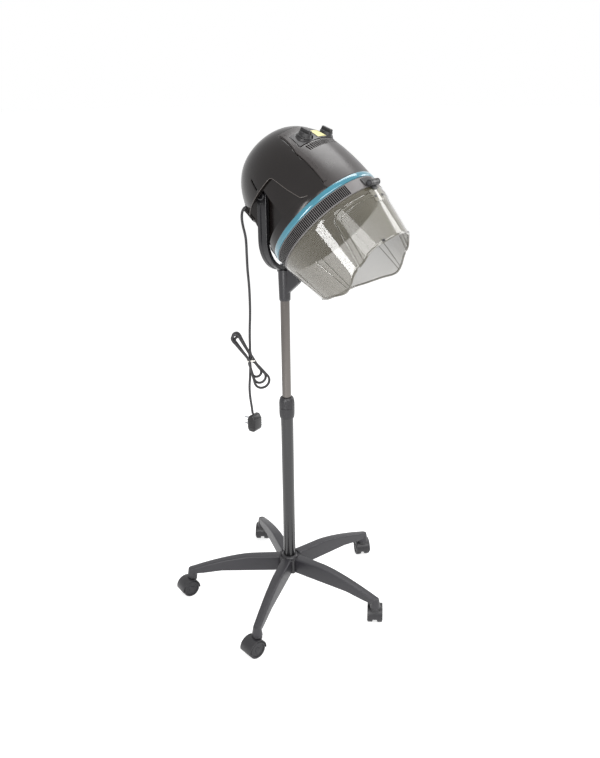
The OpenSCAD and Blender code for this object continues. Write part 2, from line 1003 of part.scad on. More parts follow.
module motor_bracket() {
    half_w = well_x - casing_wall - fit;
    color("#9b9da1")
        in_casing()
            difference() {
                union() {
                    translate([0, 0, bracket_z])
                        cylinder(r = half_w - 5, h = bracket_t);
                    translate([-half_w, 24, bracket_z])
                        cube([2 * half_w, 24, bracket_t]);
                    both_sides()
                        translate([half_w - 2, 24, bracket_z])
                            cube([2, 24, 28]);
                }
                translate([0, 0, bracket_z - 1])
                    cylinder(r = 8, h = bracket_t + 2);
            }
}

module impeller() {
    plate = 2;
    color("#d4d2cc")
        in_casing()
            difference() {
                union() {
                    translate([0, 0, impeller_bottom])
                        cylinder(r = 9, h = impeller_top - impeller_bottom);
                    translate([0, 0, impeller_top - plate])
                        cylinder(d = impeller_d, h = plate);
                    for (k = [0:blade_count - 1])
                        rotate([0, 0, 360 * k / blade_count])
                            translate([22, -1, impeller_bottom + 4])
                                cube([impeller_d / 2 - 24, 2, impeller_top - impeller_bottom - 5]);
                }
                translate([0, 0, impeller_bottom - 1])
                    cylinder(r = 3.05, h = impeller_top);
            }
}

module heater_frame() {
    posts = 6;
    color("#c8bfa6")
        in_casing() {
            for (z = [heater_z, heater_z + heater_h - mica_t])
                translate([0, 0, z])
                    pipe(heater_r, 34, mica_t);
            for (k = [0:posts - 1])
                rotate([0, 0, 360 * k / posts])
                    translate([heater_r - 3, 0, heater_z])
                        cylinder(r = 2, h = heater_h - 0.5);
            for (k = [0:2])
                rotate([0, 0, 120 * k + 30])
                    translate([heater_r - 3, 0, bowl_top])
                        cylinder(r = 2.5, h = heater_z - bowl_top + mica_t / 2);
            translate([-9, -heater_r - 18, heater_z])
                cube([18, 20, mica_t]);
        }
}

module heater_coil() {
    color("#b0562e")
        in_casing()
            for (k = [0:2])
                translate([0, 0, heater_z + mica_t + fit + coil_wire / 2 + k * coil_pitch])
                    rotate_extrude()
                        translate([coil_r, 0])
                            circle(d = coil_wire);
}

module thermal_cutout() {
    color("#dedcd4")
        in_casing()
            translate([0, -heater_r - 9, heater_z + mica_t]) {
                cylinder(r = 8, h = 4);
                translate([0, 0, 4])
                    cylinder(r = 5, h = 3);
            }
}

module terminal_block() {
    color("#e4e2dc")
        in_casing()
            difference() {
                translate([-20, 38, motor_z])
                    cube([40, 18, 14]);
                for (k = [-1:1])
                    translate([k * 12, 47, motor_z + 6])
                        cylinder(r = 2.5, h = 10);
            }
}

module casing_screws() {
    color("#b4b6ba")
        in_casing()
            for (a = [45:90:315])
                rotate([0, 0, a])
                    translate([screw_ring_r, 0, 0]) {
                        translate([0, 0, -flange_t])
                            cylinder(r = 1.9, h = ring_h - 4);
                        translate([0, 0, -flange_t - 2.5])
                            cylinder(r = 3.3, h = 2.5);
                    }
}

// ---- Visor and door ----

module visor_band() {
    neck_r = vent_in_r - run_gap;
    rotate_extrude()
        polygon([
            [visor_r, -vent_h - run_gap], [visor_r, -visor_bend], [visor_low_r, -visor_low],
            [visor_low_r - visor_wall, -visor_low], [visor_r - visor_wall, -visor_bend],
            [neck_r - visor_wall, -vent_h - 3], [neck_r - visor_wall, -flange_t - run_gap],
            [neck_r, -flange_t - run_gap], [neck_r, -vent_h - run_gap]
        ]);
}

// Side view of what the lower edge leaves standing
module visor_profile() {
    across(reach + 40)
        polygon([
            [-reach, 5], [-reach, -158], [-91, -158], [-66, -167], [-36, -173], [-6, -186],
            [16, -188], [51, -171], [86, -155], [106, -145], [125, -140], [reach, -140], [reach, 5]
        ]);
}

// Front view of the door, grown by g
module door_zone(g = 0) {
    half_w = door_half_w + g;
    foot_w = half_w - 6.5;
    bend_x = half_w - door_corner;
    bend_z = g - door_top - door_corner;
    along_y(-reach, -40)
        polygon(concat(
            [[-foot_w, -visor_low - 5], [foot_w, -visor_low - 5]],
            [for (a = [0:15:90]) [bend_x + door_corner * cos(a), bend_z + door_corner * sin(a)]],
            [for (a = [90:15:180]) [door_corner * cos(a) - bend_x, bend_z + door_corner * sin(a)]]
        ));
}

module visor() {
    color([0.72, 0.70, 0.66, 0.45])
        in_casing()
            difference() {
                intersection() {
                    visor_band();
                    visor_profile();
                }
                door_zone(seam);
            }
}

module hinge_screw_holes(r) {
    for (a = [-6, 6])
        rotate([0, 0, a])
            translate([0, -visor_low, -58])
                rotate([-90, 0, 0])
                    cylinder(r = r, h = visor_low - 100);
}

module visor_door() {
    color([0.76, 0.74, 0.70, 0.45])
        in_casing()
            difference() {
                intersection() {
                    visor_band();
                    visor_profile();
                    door_zone();
                }
                hinge_screw_holes(1.5 + fit);
            }
}

// Cylinder along X round the hinge axis
module at_hinge() {
    translate([0, -hinge_y, hinge_z])
        rotate([0, 90, 0])
            children();
}

module hinge_base() {
    pad_w = 48;
    color("#3a393b")
        in_casing()
            difference() {
                union() {
                    at_hinge()
                        translate([0, 0, -barrel_len / 2])
                            cylinder(d = barrel_d, h = barrel_len);
                    intersection() {
                        translate([0, 0, -vent_h + 2])
                            cylinder(r = vent_r + 3, h = vent_h - 6);
                        translate([-pad_w / 2, -hinge_y, -vent_h])
                            cube([pad_w, 60, vent_h]);
                    }
                    translate([-barrel_len / 2, -hinge_y, hinge_z - 1])
                        cube([barrel_len, hinge_y - vent_r + 4, barrel_d / 2]);
                }
                translate([0, 0, -reach])
                    cylinder(r = vent_r + fit / 2, h = 2 * reach);
                at_hinge() {
                    translate([0, 0, -knuckle - run_gap])
                        cylinder(r = barrel_d / 2 + run_gap, h = 2 * (knuckle + run_gap));
                    translate([0, 0, -barrel_len])
                        cylinder(d = hinge_pin_d + 2 * fit, h = 2 * barrel_len);
                }
            }
}

module hinge_pin() {
    color("#a9abae")
        in_casing()
            at_hinge() {
                translate([0, 0, -barrel_len / 2 - 1])
                    cylinder(d = hinge_pin_d, h = barrel_len + 2);
                for (z = [-barrel_len / 2 - 2, barrel_len / 2])
                    translate([0, 0, z])
                        cylinder(r = hinge_pin_d - 0.5, h = 2);
            }
}

// Curved plate on the door with the middle knuckle
module hinge_leaf() {
    leaf_w = 50;
    leaf_t = 2.6;
    leaf_top = 39.5;
    leaf_low = 70;
    tongue_t = 4;
    slope = (visor_r - visor_low_r) / (visor_low - visor_bend);
    top_r = visor_r - slope * (leaf_top - visor_bend) + fit;
    low_r = visor_r - slope * (leaf_low - visor_bend) + fit;
    color([0.80, 0.79, 0.76, 0.6])
        in_casing()
            difference() {
                union() {
                    intersection() {
                        rotate_extrude()
                            polygon([
                                [top_r, -leaf_top], [top_r + leaf_t, -leaf_top],
                                [low_r + leaf_t, -leaf_low], [low_r, -leaf_low]
                            ]);
                        along_y(-reach, 0)
                            polygon([
                                [-leaf_w / 2, -leaf_top], [-leaf_w / 2 + 4, -leaf_low],
                                [leaf_w / 2 - 4, -leaf_low], [leaf_w / 2, -leaf_top]
                            ]);
                    }
                    at_hinge()
                        translate([0, 0, -knuckle])
                            cylinder(d = barrel_d, h = 2 * knuckle);
                    translate([-knuckle, -top_r - leaf_t - 3, -leaf_top - 3])
                        cube([2 * knuckle, tongue_t, leaf_top + 3 + hinge_z]);
                }
                at_hinge()
                    translate([0, 0, -barrel_len])
                        cylinder(d = hinge_pin_d + 2 * fit, h = 2 * barrel_len);
                hinge_screw_holes(1.5 + fit);
            }
}

module hinge_screws() {
    head_r = visor_r + 0.1;
    color("#c4c6ca")
        in_casing()
            for (a = [-6, 6])
                rotate([0, 0, a])
                    translate([0, -head_r, -58])
                        rotate([-90, 0, 0]) {
                            cylinder(r = 1.5, h = 10);
                            translate([0, 0, -2.2])
                                cylinder(r = 3, h = 2.2);
                        }
}

// ---- Cord ----

module strain_relief() {
    color("#1b1b1c")
        in_casing()
            at_gland() {
                translate([0, 0, -8])
                    cylinder(r = 6 - fit, h = gland_boss + 8);
                translate([0, 0, gland_boss])
                    cylinder(r = 9, h = 2.4);
                translate([0, 0, gland_boss + 2.4])
                    cylinder(r1 = 7, r2 = cord_r + 1.3, h = relief_len - gland_boss - 2.4);
            }
}

module cord_upper() {
    path = spline(concat([cord_start], cord_route), 2);
    nose = [75, 50, 25];
    color("#2a2a2b")
        tube(
            concat([for (a = nose) cord_start - [0, cord_r * sin(a), 0]], path),
            concat([for (a = nose) cord_r * cos(a)], [for (p = path) cord_r])
        );
}

module in_hank() {
    translate(hank_pos)
        rotate([0, 0, hank_turn])
            children();
}

// Outline of the tied coil in its own plane: fingers above the tie, loops below it
module hank_outline() {
    hull() {
        translate([0, 4])
            circle(r = hank_waist, $fn = 24);
        translate([-40, 70])
            circle(r = 13.5, $fn = 24);
    }
    hull() {
        translate([0, -4])
            circle(r = hank_waist, $fn = 24);
        translate([28, -62])
            circle(r = 25, $fn = 32);
    }
}

module cord_hank() {
    color("#262627")
        in_hank()
            along_y(-hank_t / 2, hank_t / 2)
                hank_outline();
}

module cord_tie() {
    color("#e8e6e0")
        in_hank()
            translate([0, 0, -2])
                difference() {
                    translate([-hank_waist - 1.5, -hank_t / 2 - 1.5, 0])
                        cube([2 * hank_waist + 3, hank_t + 3, 4]);
                    translate([-hank_waist, -hank_t / 2, -1])
                        cube([2 * hank_waist, hank_t, 6]);
                }
}

module cord_lower() {
    path = spline(cord_tail, 2);
    color("#2a2a2b")
        tube(path, [for (p = path) cord_r]);
}

module plug_body() {
    color("#151516")
        translate(plug_pos)
            intersection() {
                translate(-plug_size / 2)
                    cube(plug_size);
                translate([0, plug_size.y / 2, 0])
                    rotate([90, 0, 0])
                        cylinder(r = plug_size.z / 2 + 1, h = plug_size.y);
            }
}

module plug_pins() {
    color("#c9c8c2")
        for (side = [-1, 1])
            translate([plug_pos.x, plug_pos.y + plug_size.y / 2, plug_pos.z + side * pin_gap / 2])
                rotate([-90, 0, 0])
                    cylinder(d = pin_d, h = pin_len);
}

base_hub();
leg(0);  // leg_1
leg(1);  // leg_2
leg(2);  // leg_3
leg(3);  // leg_4
leg(4);  // leg_5
caster_housing(0);  // caster_housing_1
caster_housing(1);  // caster_housing_2
caster_housing(2);  // caster_housing_3
caster_housing(3);  // caster_housing_4
caster_housing(4);  // caster_housing_5
caster_wheels(0);  // caster_wheels_1
caster_wheels(1);  // caster_wheels_2
caster_wheels(2);  // caster_wheels_3
caster_wheels(3);  // caster_wheels_4
caster_wheels(4);  // caster_wheels_5
base_tube();
base_bolt();
collar_sleeve();
collet();
lock_collar();
mast_tube();
yoke_socket();
yoke_fork();
socket_screws();
pivot_bolts();
pivot_caps();
friction_washers();
rear_casing();
front_panel();
control_panel();
dial_plate();
knob(-1);  // timer_knob
knob(1);  // heat_knob
switch_body(-1);  // timer_switch
switch_body(1);  // heat_switch
trim_ring();
vent_ring();
inner_bowl();
motor();
motor_bracket();
impeller();
heater_frame();
heater_coil();
thermal_cutout();
terminal_block();
casing_screws();
visor();
visor_door();
hinge_base();
hinge_pin();
hinge_leaf();
hinge_screws();
strain_relief();
cord_upper();
cord_hank();
cord_tie();
cord_lower();
plug_body();
plug_pins();
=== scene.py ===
"""Looks of the hood hair dryer on its five-star caster stand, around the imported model."""

import math

import bmesh
import bpy
from mathutils import Matrix, Vector


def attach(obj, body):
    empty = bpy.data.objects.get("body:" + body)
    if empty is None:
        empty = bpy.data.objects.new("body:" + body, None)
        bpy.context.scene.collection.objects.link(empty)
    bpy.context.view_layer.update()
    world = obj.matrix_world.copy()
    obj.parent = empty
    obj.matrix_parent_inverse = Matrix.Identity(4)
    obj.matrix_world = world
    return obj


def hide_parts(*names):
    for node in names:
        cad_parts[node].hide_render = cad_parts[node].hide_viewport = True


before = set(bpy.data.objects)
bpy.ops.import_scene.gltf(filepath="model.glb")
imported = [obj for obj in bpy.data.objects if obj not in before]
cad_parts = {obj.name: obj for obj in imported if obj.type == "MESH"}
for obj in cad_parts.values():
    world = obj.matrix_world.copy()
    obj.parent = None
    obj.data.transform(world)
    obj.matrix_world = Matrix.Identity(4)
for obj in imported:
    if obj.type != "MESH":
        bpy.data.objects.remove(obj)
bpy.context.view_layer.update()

# ---- Sizes, in millimetres ----

PIVOT_Z = 1181.0
RAKE = 47.56
AXIS_OFF = 42.7
RING_DROP = 139.3
CASING_R = 151.0
CASING_H = 250.0
COVER_WALL = 3.0
REAR_WALL = 2.6
DOME_P = 2.45
DOME_Q = 2.85
RECESS_DEPTH = 4.5
RING_H = 14.0
VENT_H = 30.0
WELL_X = 74.0

KNOB_X = 45.0
KNOB_Z = 158.0
KNOB_TILT = 22.0
KNOB_D = 38.0
KNOB_H = 19.0
SEAT_R = KNOB_D / 2 + 1.5
GLAND_Z = 165.0
RELIEF_LEN = 27.0

VISOR_R = 149.0
VISOR_LOW_R = 121.5
VISOR_WALL = 3.0
VISOR_BEND = 38.0
VISOR_LOW = 200.0
HINGE_Y = VISOR_R + 9.5
HINGE_Z = 3.0 - VENT_H

FORK_R = 90.0
ARM_T = 12.0
ARM_W = 28.0
FORK_RISE = 108.0
FORK_Z = PIVOT_Z - FORK_RISE
SOCKET_BOTTOM = PIVOT_Z - 280.0
SOCKET_D = 30.0
SADDLE_TOP = FORK_Z - FORK_R + 7.0

BASE_TUBE_D = 35.0
BASE_TUBE_TOP = 590.0
TUBE_SEAT = 82.0
MAST_D = 25.0
MAST_BOTTOM = 300.0
MAST_TOP = SOCKET_BOTTOM + 58.0
SLEEVE_TOP = BASE_TUBE_TOP + 7.0
SLEEVE_LEN = 30.0
LOCK_LEN = 31.0

BASE_REACH = 293.0
HUB_FLAT = 30.0
HUB_BOTTOM = 76.0
HUB_TOP = 120.0
LEG_TOP = 124.0
LEG_DROP = 39.0
LEG_SHOULDER = 115.0
LEG_ROOT_W = 30.0
LEG_TIP_W = 22.0
LEGS = 5
CASTER_DIRS = (30, 45, 30, 160, 167)
WHEEL_R = 25.0
WHEEL_W = 15.0
CORE_W = 12.0
TRAIL = 15.0
RUN_GAP = 0.3
SEAM = 0.4
MUDGUARD_R = WHEEL_R + 3.5
MUDGUARD_IN = WHEEL_R + 1.0
CASTER_TOP = WHEEL_R + math.sqrt(MUDGUARD_R ** 2 - TRAIL ** 2) + 6.0
CASTER_W = CORE_W + 2 * (WHEEL_W + RUN_GAP)
LEG_BOSS_BOTTOM = CASTER_TOP + RUN_GAP
LEG_BOSS_R = 13.5

CORD_D = 7.0
CORD_ROUTE = [
    (120, 1134), (130, 1126), (135, 1110), (133, 1088), (126, 1061), (124, 1048), (123, 1008),
    (122, 968), (119, 927), (118, 885), (119, 843), (122, 799), (123, 760), (121, 729),
]
CORD_TAIL = [(125, 688), (127, 660), (130, 629), (129, 600), (125, 572), (122, 549)]
HANK_POS = Vector((0.0, 121.0, 711.0))
HANK_TURN = -36.87
PLUG_POS = Vector((0.0, 116.0, 524.0))
PIN_GAP = 19.0
PIN_LEN = 22.0
PLUG_T = 34.0

# ---- Places ----

MODEL = Matrix.Scale(0.001, 4)
TURN = math.tau


def turned_about(axis, degrees):
    """Turn about X, Y or Z."""
    return Matrix.Rotation(math.radians(degrees), 4, axis)


def moved(x, y, z):
    """Shift by x, y and z."""
    return Matrix.Translation((x, y, z))


def dome_r(z):
    """Radius of the casing's outside at height z above its lower edge."""
    rise = min(1.0, abs(z) / CASING_H)
    return CASING_R * (1 - rise ** DOME_P) ** (1 / DOME_Q)


SEAT_Y = dome_r(KNOB_Z) * math.cos(math.asin(KNOB_X / dome_r(KNOB_Z))) - 2
HOOD = moved(0, 0, PIVOT_Z) @ turned_about("X", -RAKE) @ moved(0, -AXIS_OFF, -RING_DROP)
IN_CASING = MODEL @ HOOD
AT_GLAND = IN_CASING @ moved(0, dome_r(GLAND_Z), GLAND_Z) @ turned_about("X", RAKE - 90)
ON_HINGE = moved(0, -HINGE_Y, HINGE_Z) @ turned_about("Y", 90)
IN_HANK = moved(*HANK_POS) @ turned_about("Z", HANK_TURN)


def at_knob(side):
    """Place of a knob's seat, side -1 or 1, in the casing's own frame."""
    return moved(side * KNOB_X, -SEAT_Y, KNOB_Z) @ turned_about("X", 90 - KNOB_TILT)


def on_leg(number):
    """Place of a leg, which runs along X from the column's axis."""
    return MODEL @ turned_about("Z", -90 + number * 360 / LEGS)


def at_caster(number):
    """Place of a caster, which trails along X from its swivel axis."""
    where = turned_about("Z", -90 + number * 360 / LEGS) @ Vector((BASE_REACH, 0, 0))
    return MODEL @ moved(*where) @ turned_about("Z", CASTER_DIRS[number])


# ---- Finishes ----


def shade(code):
    """Linear colour from a six-figure colour code."""
    parts = [int(code[i:i + 2], 16) / 255 for i in (0, 2, 4)]
    return [p / 12.92 if p <= 0.04045 else ((p + 0.055) / 1.055) ** 2.4 for p in parts]


def fed(tree, node, inputs):
    """Gives a node its inputs, as values or as links; a new node is named by its kind."""
    if isinstance(node, str):
        node = tree.nodes.new("ShaderNode" + node)
    for name, value in inputs.items():
        if isinstance(value, bpy.types.NodeSocket):
            tree.links.new(value, node.inputs[name])
        else:
            node.inputs[name].default_value = value
    return node


def noise(tree, place, size, detail):
    """Cloudy pattern with about size lumps to a metre."""
    return fed(tree, "TexNoise", {"Vector": place, "Scale": size, "Detail": detail}).outputs[0]


def spread(tree, value, low, high):
    """Brings a pattern to the range from low to high."""
    fit = {"From Min": 0.25, "From Max": 0.75, "To Min": low, "To Max": high, "Value": value}
    return fed(tree, "MapRange", fit).outputs["Result"]


def two_tones(tree, factor, first, second):
    """Colour that goes from the first tone to the second with the factor."""
    mix = tree.nodes.new("ShaderNodeMix")
    mix.data_type = "RGBA"
    return fed(tree, mix, {0: factor, 6: (*first, 1), 7: (*second, 1)}).outputs[2]


def moulded(
    name, code, rough, metal=0.0, gloss=0.5, mottle=0.07, cloud_size=30.0, scuff=0.05,
    grain=0.12, grain_size=1500.0, grain_depth=0.0003, stretch=(1, 1, 1), coat=0.0, coat_rough=0.05,
):
    """A maker's finish: a slightly clouded colour, uneven polish and a fine grain."""
    look = bpy.data.materials.new(name)
    look.use_nodes = True
    tree = look.node_tree
    where = tree.nodes.new("ShaderNodeTexCoord").outputs["Object"]
    place = fed(tree, "Mapping", {"Vector": where, "Scale": stretch}).outputs["Vector"]
    dark, light = ([min(1, t * (1 + change)) for t in shade(code)] for change in (-mottle, mottle))
    clouds = spread(tree, noise(tree, place, cloud_size, 4.0), 0, 1)
    polish = noise(tree, place, cloud_size * 4, 5.0)
    fine = noise(tree, place, grain_size, 2.0)
    bump = fed(tree, "Bump", {"Strength": grain, "Distance": grain_depth, "Height": fine})
    fed(tree, tree.nodes["Principled BSDF"], {
        "Base Color": two_tones(tree, clouds, dark, light),
        "Roughness": spread(tree, polish, max(0.02, rough - scuff), min(1.0, rough + scuff)),
        "Normal": bump.outputs["Normal"], "Metallic": metal, "Specular IOR Level": gloss,
        "Coat Weight": coat, "Coat Roughness": coat_rough,
    })
    return look


def smoked(name, code, thin, edge_on):
    """Tinted clear plastic in slow waves, denser where it is seen edge on."""
    look = moulded(
        name, code, 0.06, gloss=1.0, mottle=0.04, cloud_size=12, scuff=0.03, grain_size=22,
        grain_depth=0.0006, coat=1.0, coat_rough=0.03,
    )
    tree = look.node_tree
    edge = fed(tree, "LayerWeight", {"Blend": 0.35}).outputs["Facing"]
    dense = fed(tree, "MapRange", {"To Min": thin, "To Max": edge_on, "Value": edge})
    fed(tree, tree.nodes["Principled BSDF"], {"Alpha": dense.outputs["Result"]})
    look.surface_render_method = "BLENDED"
    return look


casing_gloss = moulded("casing gloss", "161211", 0.22, gloss=0.35, mottle=0.1, cloud_size=9, grain=0.05)
panel_gloss = moulded("panel gloss", "2b2625", 0.3, gloss=0.6, mottle=0.08, cloud_size=9, grain=0.06)
control_satin = moulded("control satin", "2b292a", 0.38)
knob_matt = moulded("knob matt", "131214", 0.42, grain=0.2, grain_size=1800)
dial_print = moulded("dial print", "d6cf92", 0.5, mottle=0.08, cloud_size=90, grain=0.08)
dial_ink = moulded("dial ink", "2c2a26", 0.6)
accent_gloss = moulded(
    "accent gloss", "1c7488", 0.14, gloss=0.6, mottle=0.14, cloud_size=14, grain=0.04, coat=1.0,
)
vent_grey = moulded("vent grey", "6d6a6a", 0.34, gloss=0.6)
# Near-black for the vent ring's groove floors and rib sides: painted shade between the ribs.
vent_shade_paint = moulded("vent painted shade", "0e0d0e", 0.6, gloss=0.2, grain=0.1)
bowl_grey = moulded("bowl grey", "1d1b1b", 0.45, gloss=0.35, grain=0.15)
hinge_black = moulded("hinge black", "2b2a2b", 0.3)
yoke_satin = moulded("yoke satin", "201f22", 0.3, grain=0.22, grain_size=1100)
socket_satin = moulded("socket satin", "2b2a2d", 0.34, grain=0.22, grain_size=1100)
collar_black = moulded("collar black", "242326", 0.36, grain=0.18)
tube_gloss = moulded("tube gloss", "151517", 0.16, gloss=0.55, stretch=(1, 1, 0.15), grain=0.05, coat=0.3)
mast_chrome = moulded(
    "mast chrome", "6b6764", 0.13, metal=1.0, mottle=0.05, stretch=(1, 1, 0.02), scuff=0.03,
    grain_size=2600,
)
screw_dark = moulded("screw dark", "57575a", 0.34, metal=1.0, mottle=0.06, grain=0.15, scuff=0.1)
# Lighter grey that paints the highlight along the side recesses' edges.
painted_edge_highlight = moulded("painted edge highlight", "4c4643", 0.34, gloss=0.6, grain=0.08)
bright_steel = moulded("bright steel", "b2b4b8", 0.3, metal=1.0, mottle=0.06, grain=0.15, scuff=0.1)
hub_satin = moulded("hub satin", "232225", 0.36, grain=0.22, grain_size=1000)
leg_satin = moulded("leg satin", "2c2b2f", 0.4, grain=0.25, grain_size=1000)
caster_black = moulded("caster black", "222124", 0.38, grain=0.18)
wheel_rubber = moulded("wheel rubber", "17161a", 0.5, grain=0.25, grain_size=1300)
cord_sheath = moulded("cord sheath", "2a292b", 0.45, grain=0.2, grain_size=2200)
relief_rubber = moulded("relief rubber", "1b1a1c", 0.5, grain=0.2)
tie_white = moulded("tie white", "e9e7e1", 0.5, grain=0.1)
plug_black = moulded("plug black", "151416", 0.34, grain=0.2, grain_size=1600)
washer_fibre = moulded("washer fibre", "7b6a4a", 0.75, mottle=0.2, cloud_size=200, grain=0.4)
visor_smoke = smoked("visor smoke", "6e6858", 0.3, 0.8)
door_smoke = smoked("door smoke", "757060", 0.28, 0.78)
rim_smoke = smoked("rim smoke", "56513f", 0.55, 0.95)
leaf_clear = smoked("leaf clear", "8f8b7e", 0.42, 0.9)

# ---- Shaping ----


def points_in(geom):
    """The points among mixed geometry."""
    return [g for g in geom if isinstance(g, bmesh.types.BMVert)]


def faces_in(geom):
    """The faces among mixed geometry."""
    return [g for g in geom if isinstance(g, bmesh.types.BMFace)]


def drawn(bm, faces, keep=False):
    """Draws faces out where they are, and gives the new geometry, which still has to be moved."""
    geom = bmesh.ops.extrude_face_region(bm, geom=faces)["geom"]
    if not keep:
        bmesh.ops.delete(bm, geom=faces, context="FACES")
    return geom


def split(bm, faces, spot, normal, near=0.01):
    """Cuts faces along a plane through a spot."""
    edges = {e for f in faces for e in f.edges}
    verts = {v for f in faces for v in f.verts}
    bmesh.ops.bisect_plane(bm, geom=[*verts, *edges, *faces], dist=near, plane_co=spot, plane_no=normal)


def to_radius(vert, radius):
    """Moves a point to a distance from Z."""
    now = math.hypot(vert.co.x, vert.co.y)
    vert.co.x *= radius / now
    vert.co.y *= radius / now


def turned(profile, steps, closed=True):
    """Shape turned about Z from a profile of (radius, height) points."""
    bm = bmesh.new()
    points = [bm.verts.new((r, 0, z)) for r, z in profile]
    pairs = list(zip(points, points[1:]))
    if closed:
        pairs.append((points[-1], points[0]))
    lines = [bm.edges.new(pair) for pair in pairs]
    bmesh.ops.spin(
        bm, geom=points + lines, cent=(0, 0, 0), axis=(0, 0, 1), angle=TURN, steps=steps, use_merge=True
    )
    bmesh.ops.remove_doubles(bm, verts=bm.verts, dist=0.0008)
    bmesh.ops.recalc_face_normals(bm, faces=bm.faces)
    return bm


def soften(bm, width, parts=2, least=25, where=None):
    """Rounds the edges that turn by more than the least angle, in degrees."""
    edges = []
    for edge in bm.edges:
        if len(edge.link_faces) != 2:
            continue
        turn = math.degrees(edge.calc_face_angle())
        if least < turn < 180 and (where is None or where(edge)):
            edges.append(edge)
    if edges:
        bmesh.ops.bevel(
            bm, geom=edges, offset=width, offset_type="OFFSET", segments=parts, profile=0.5,
            affect="EDGES", material=-1, clamp_overlap=True,
        )
    return bm


def add(bm, part, place=None):
    """Adds one shape to another, where place puts it."""
    if place is not None:
        bmesh.ops.transform(part, matrix=place, verts=part.verts)
        if place.determinant() < 0:
            bmesh.ops.reverse_faces(part, faces=part.faces)
    scrap = bpy.data.meshes.new("scrap")
    part.to_mesh(scrap)
    part.free()
    bm.from_mesh(scrap)
    bpy.data.meshes.remove(scrap)
    return bm


def block(low, high, edge, parts):
    """Block between two corners with rounded edges."""
    bm = bmesh.new()
    bmesh.ops.create_cube(bm, size=1)
    size = [b - a for a, b in zip(low, high)]
    bmesh.ops.scale(bm, vec=size, verts=bm.verts)
    bmesh.ops.translate(bm, vec=[(a + b) / 2 for a, b in zip(low, high)], verts=bm.verts)
    return soften(bm, edge, parts)


def plate(outline, thick, edge=0.0, parts=2, low=0.0):
    """Flat outline in XY, raised from a low height to a thickness, with rounded edges."""
    bm = bmesh.new()
    face = bm.faces.new([bm.verts.new((x, y, low)) for x, y in outline])
    upper = drawn(bm, [face], keep=True)
    bmesh.ops.translate(bm, vec=(0, 0, thick), verts=points_in(upper))
    bmesh.ops.recalc_face_normals(bm, faces=bm.faces)
    return soften(bm, edge, parts, least=20) if edge else bm


def disc(radius, low, high, edge, hole, steps=48):
    """Turned disc with a hole and rounded edges."""
    bm = turned([(hole, low), (radius, low), (radius, high), (hole, high)], steps)
    return soften(bm, edge, 3, least=40)


def put(name, data):
    """New object in the scene."""
    thing = bpy.data.objects.new(name, data)
    bpy.context.scene.collection.objects.link(thing)
    return thing


def piece(name, bm, look, body, stands_for=(), place=MODEL, crease=34):
    """Finished piece on its body, standing for the named nodes."""
    bmesh.ops.transform(bm, matrix=place, verts=bm.verts)
    if place.determinant() < 0:
        bmesh.ops.reverse_faces(bm, faces=bm.faces)
    mesh = bpy.data.meshes.new(name)
    bm.to_mesh(mesh)
    bm.free()
    mesh.polygons.foreach_set("use_smooth", [True] * len(mesh.polygons))
    mesh.set_sharp_from_angle(angle=math.radians(crease))
    mesh.materials.append(look)
    thing = put(name, mesh)
    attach(thing, body)
    if stands_for:
        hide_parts(*stands_for)
    return thing


def wall(thing, thick):
    """Gives an open skin its wall, inwards."""
    shell = thing.modifiers.new("wall", "SOLIDIFY")
    shell.thickness = thick * 0.001
    shell.offset = -1
    shell.use_even_offset = False
    return thing


def even_normals(thing):
    """Keeps the small faces beside a cut from showing in the gloss."""
    steady = thing.modifiers.new("even normals", "WEIGHTED_NORMAL")
    steady.mode = "FACE_AREA"
    steady.keep_sharp = True
    steady.weight = 50
    return thing


# ---- Camera ----

camera = put("camera", bpy.data.cameras.new("camera"))
camera.data.lens = 36.66
camera.data.sensor_width = 36
camera.data.clip_start = 0.05
camera.data.clip_end = 200
sight = Matrix(((0.5689, 0.2937, -0.7682), (-0.8223, 0.1900, -0.5363), (-0.0116, 0.9368, 0.3496)))
camera.matrix_world = Matrix.Translation((-1.5979, -1.1609, 1.4162)) @ sight.to_4x4()
bpy.context.scene.camera = camera

# ---- Cord ----


def lobe(start, tip, side_in, side_out, bulge, layer_in, layer_out):
    """One fold of the hank, from the waist round its tip and back, in (u, z, w)."""
    a = Vector(start)
    axis = (Vector(tip) - a).normalized()
    span = (Vector(tip) - a).length
    across = Vector((axis.y, -axis.x))
    wide = math.copysign(bulge, side_in)
    points = []
    for t in (0.2, 0.4, 0.6, 0.8):
        points.append((t * span, side_in + (wide - side_in) * t ** 0.8, t * 0.5))
    for angle in (0, 36, 72, 108, 144, 180):
        turn = math.radians(angle)
        points.append((span + bulge * math.sin(turn), wide * math.cos(turn), 0.5))
    for t in (0.8, 0.6, 0.4, 0.2):
        points.append((t * span, side_out - (wide + side_out) * t ** 0.8, 1 - t * 0.5))
    return [
        (*(a + axis * along + across * off), layer_in + (layer_out - layer_in) * part)
        for along, off, part in points
    ]


def hank_line():
    """The cord in the tied hank, in (u, z, w): three loops below the tie and three folds above."""
    loops = [((28, -62), 21.5), ((24, -53), 17.0), ((17, -40), 13.0)]
    folds = [((-43, 70), 10.0), ((-39, 74), 10.0), ((-34, 62), 9.0)]
    layers = [-6.4, 0.0, 6.4]
    line = [(5.0, 8.0, -3.0)]
    for k in range(3):
        tip, bulge = loops[k]
        line += lobe((0, -4), tip, -6.0, 6.0, bulge, layers[k], layers[k])
        line.append((-6.0, 0.0, layers[k]))
        tip, bulge = folds[k]
        after = layers[k + 1] if k < 2 else 3.2
        line += lobe((0, 4), tip, -5.5, 3.0, bulge, layers[k], after)
        line.append((1.0 if k < 2 else -2.0, 0.0, after))
    return line


def cord_line():
    """The cord's centreline in metres, from its outlet to the plug."""
    start = AT_GLAND @ Vector((0, 0, RELIEF_LEN))
    points = [start, start + Vector((0, 0.006, 0))]
    points += [Vector((0, y, z)) * 0.001 for y, z in CORD_ROUTE]
    points += [IN_HANK @ Vector((u, w, z)) * 0.001 for u, z, w in hank_line()]
    points += [Vector((0, y, z)) * 0.001 for y, z in CORD_TAIL]
    return points


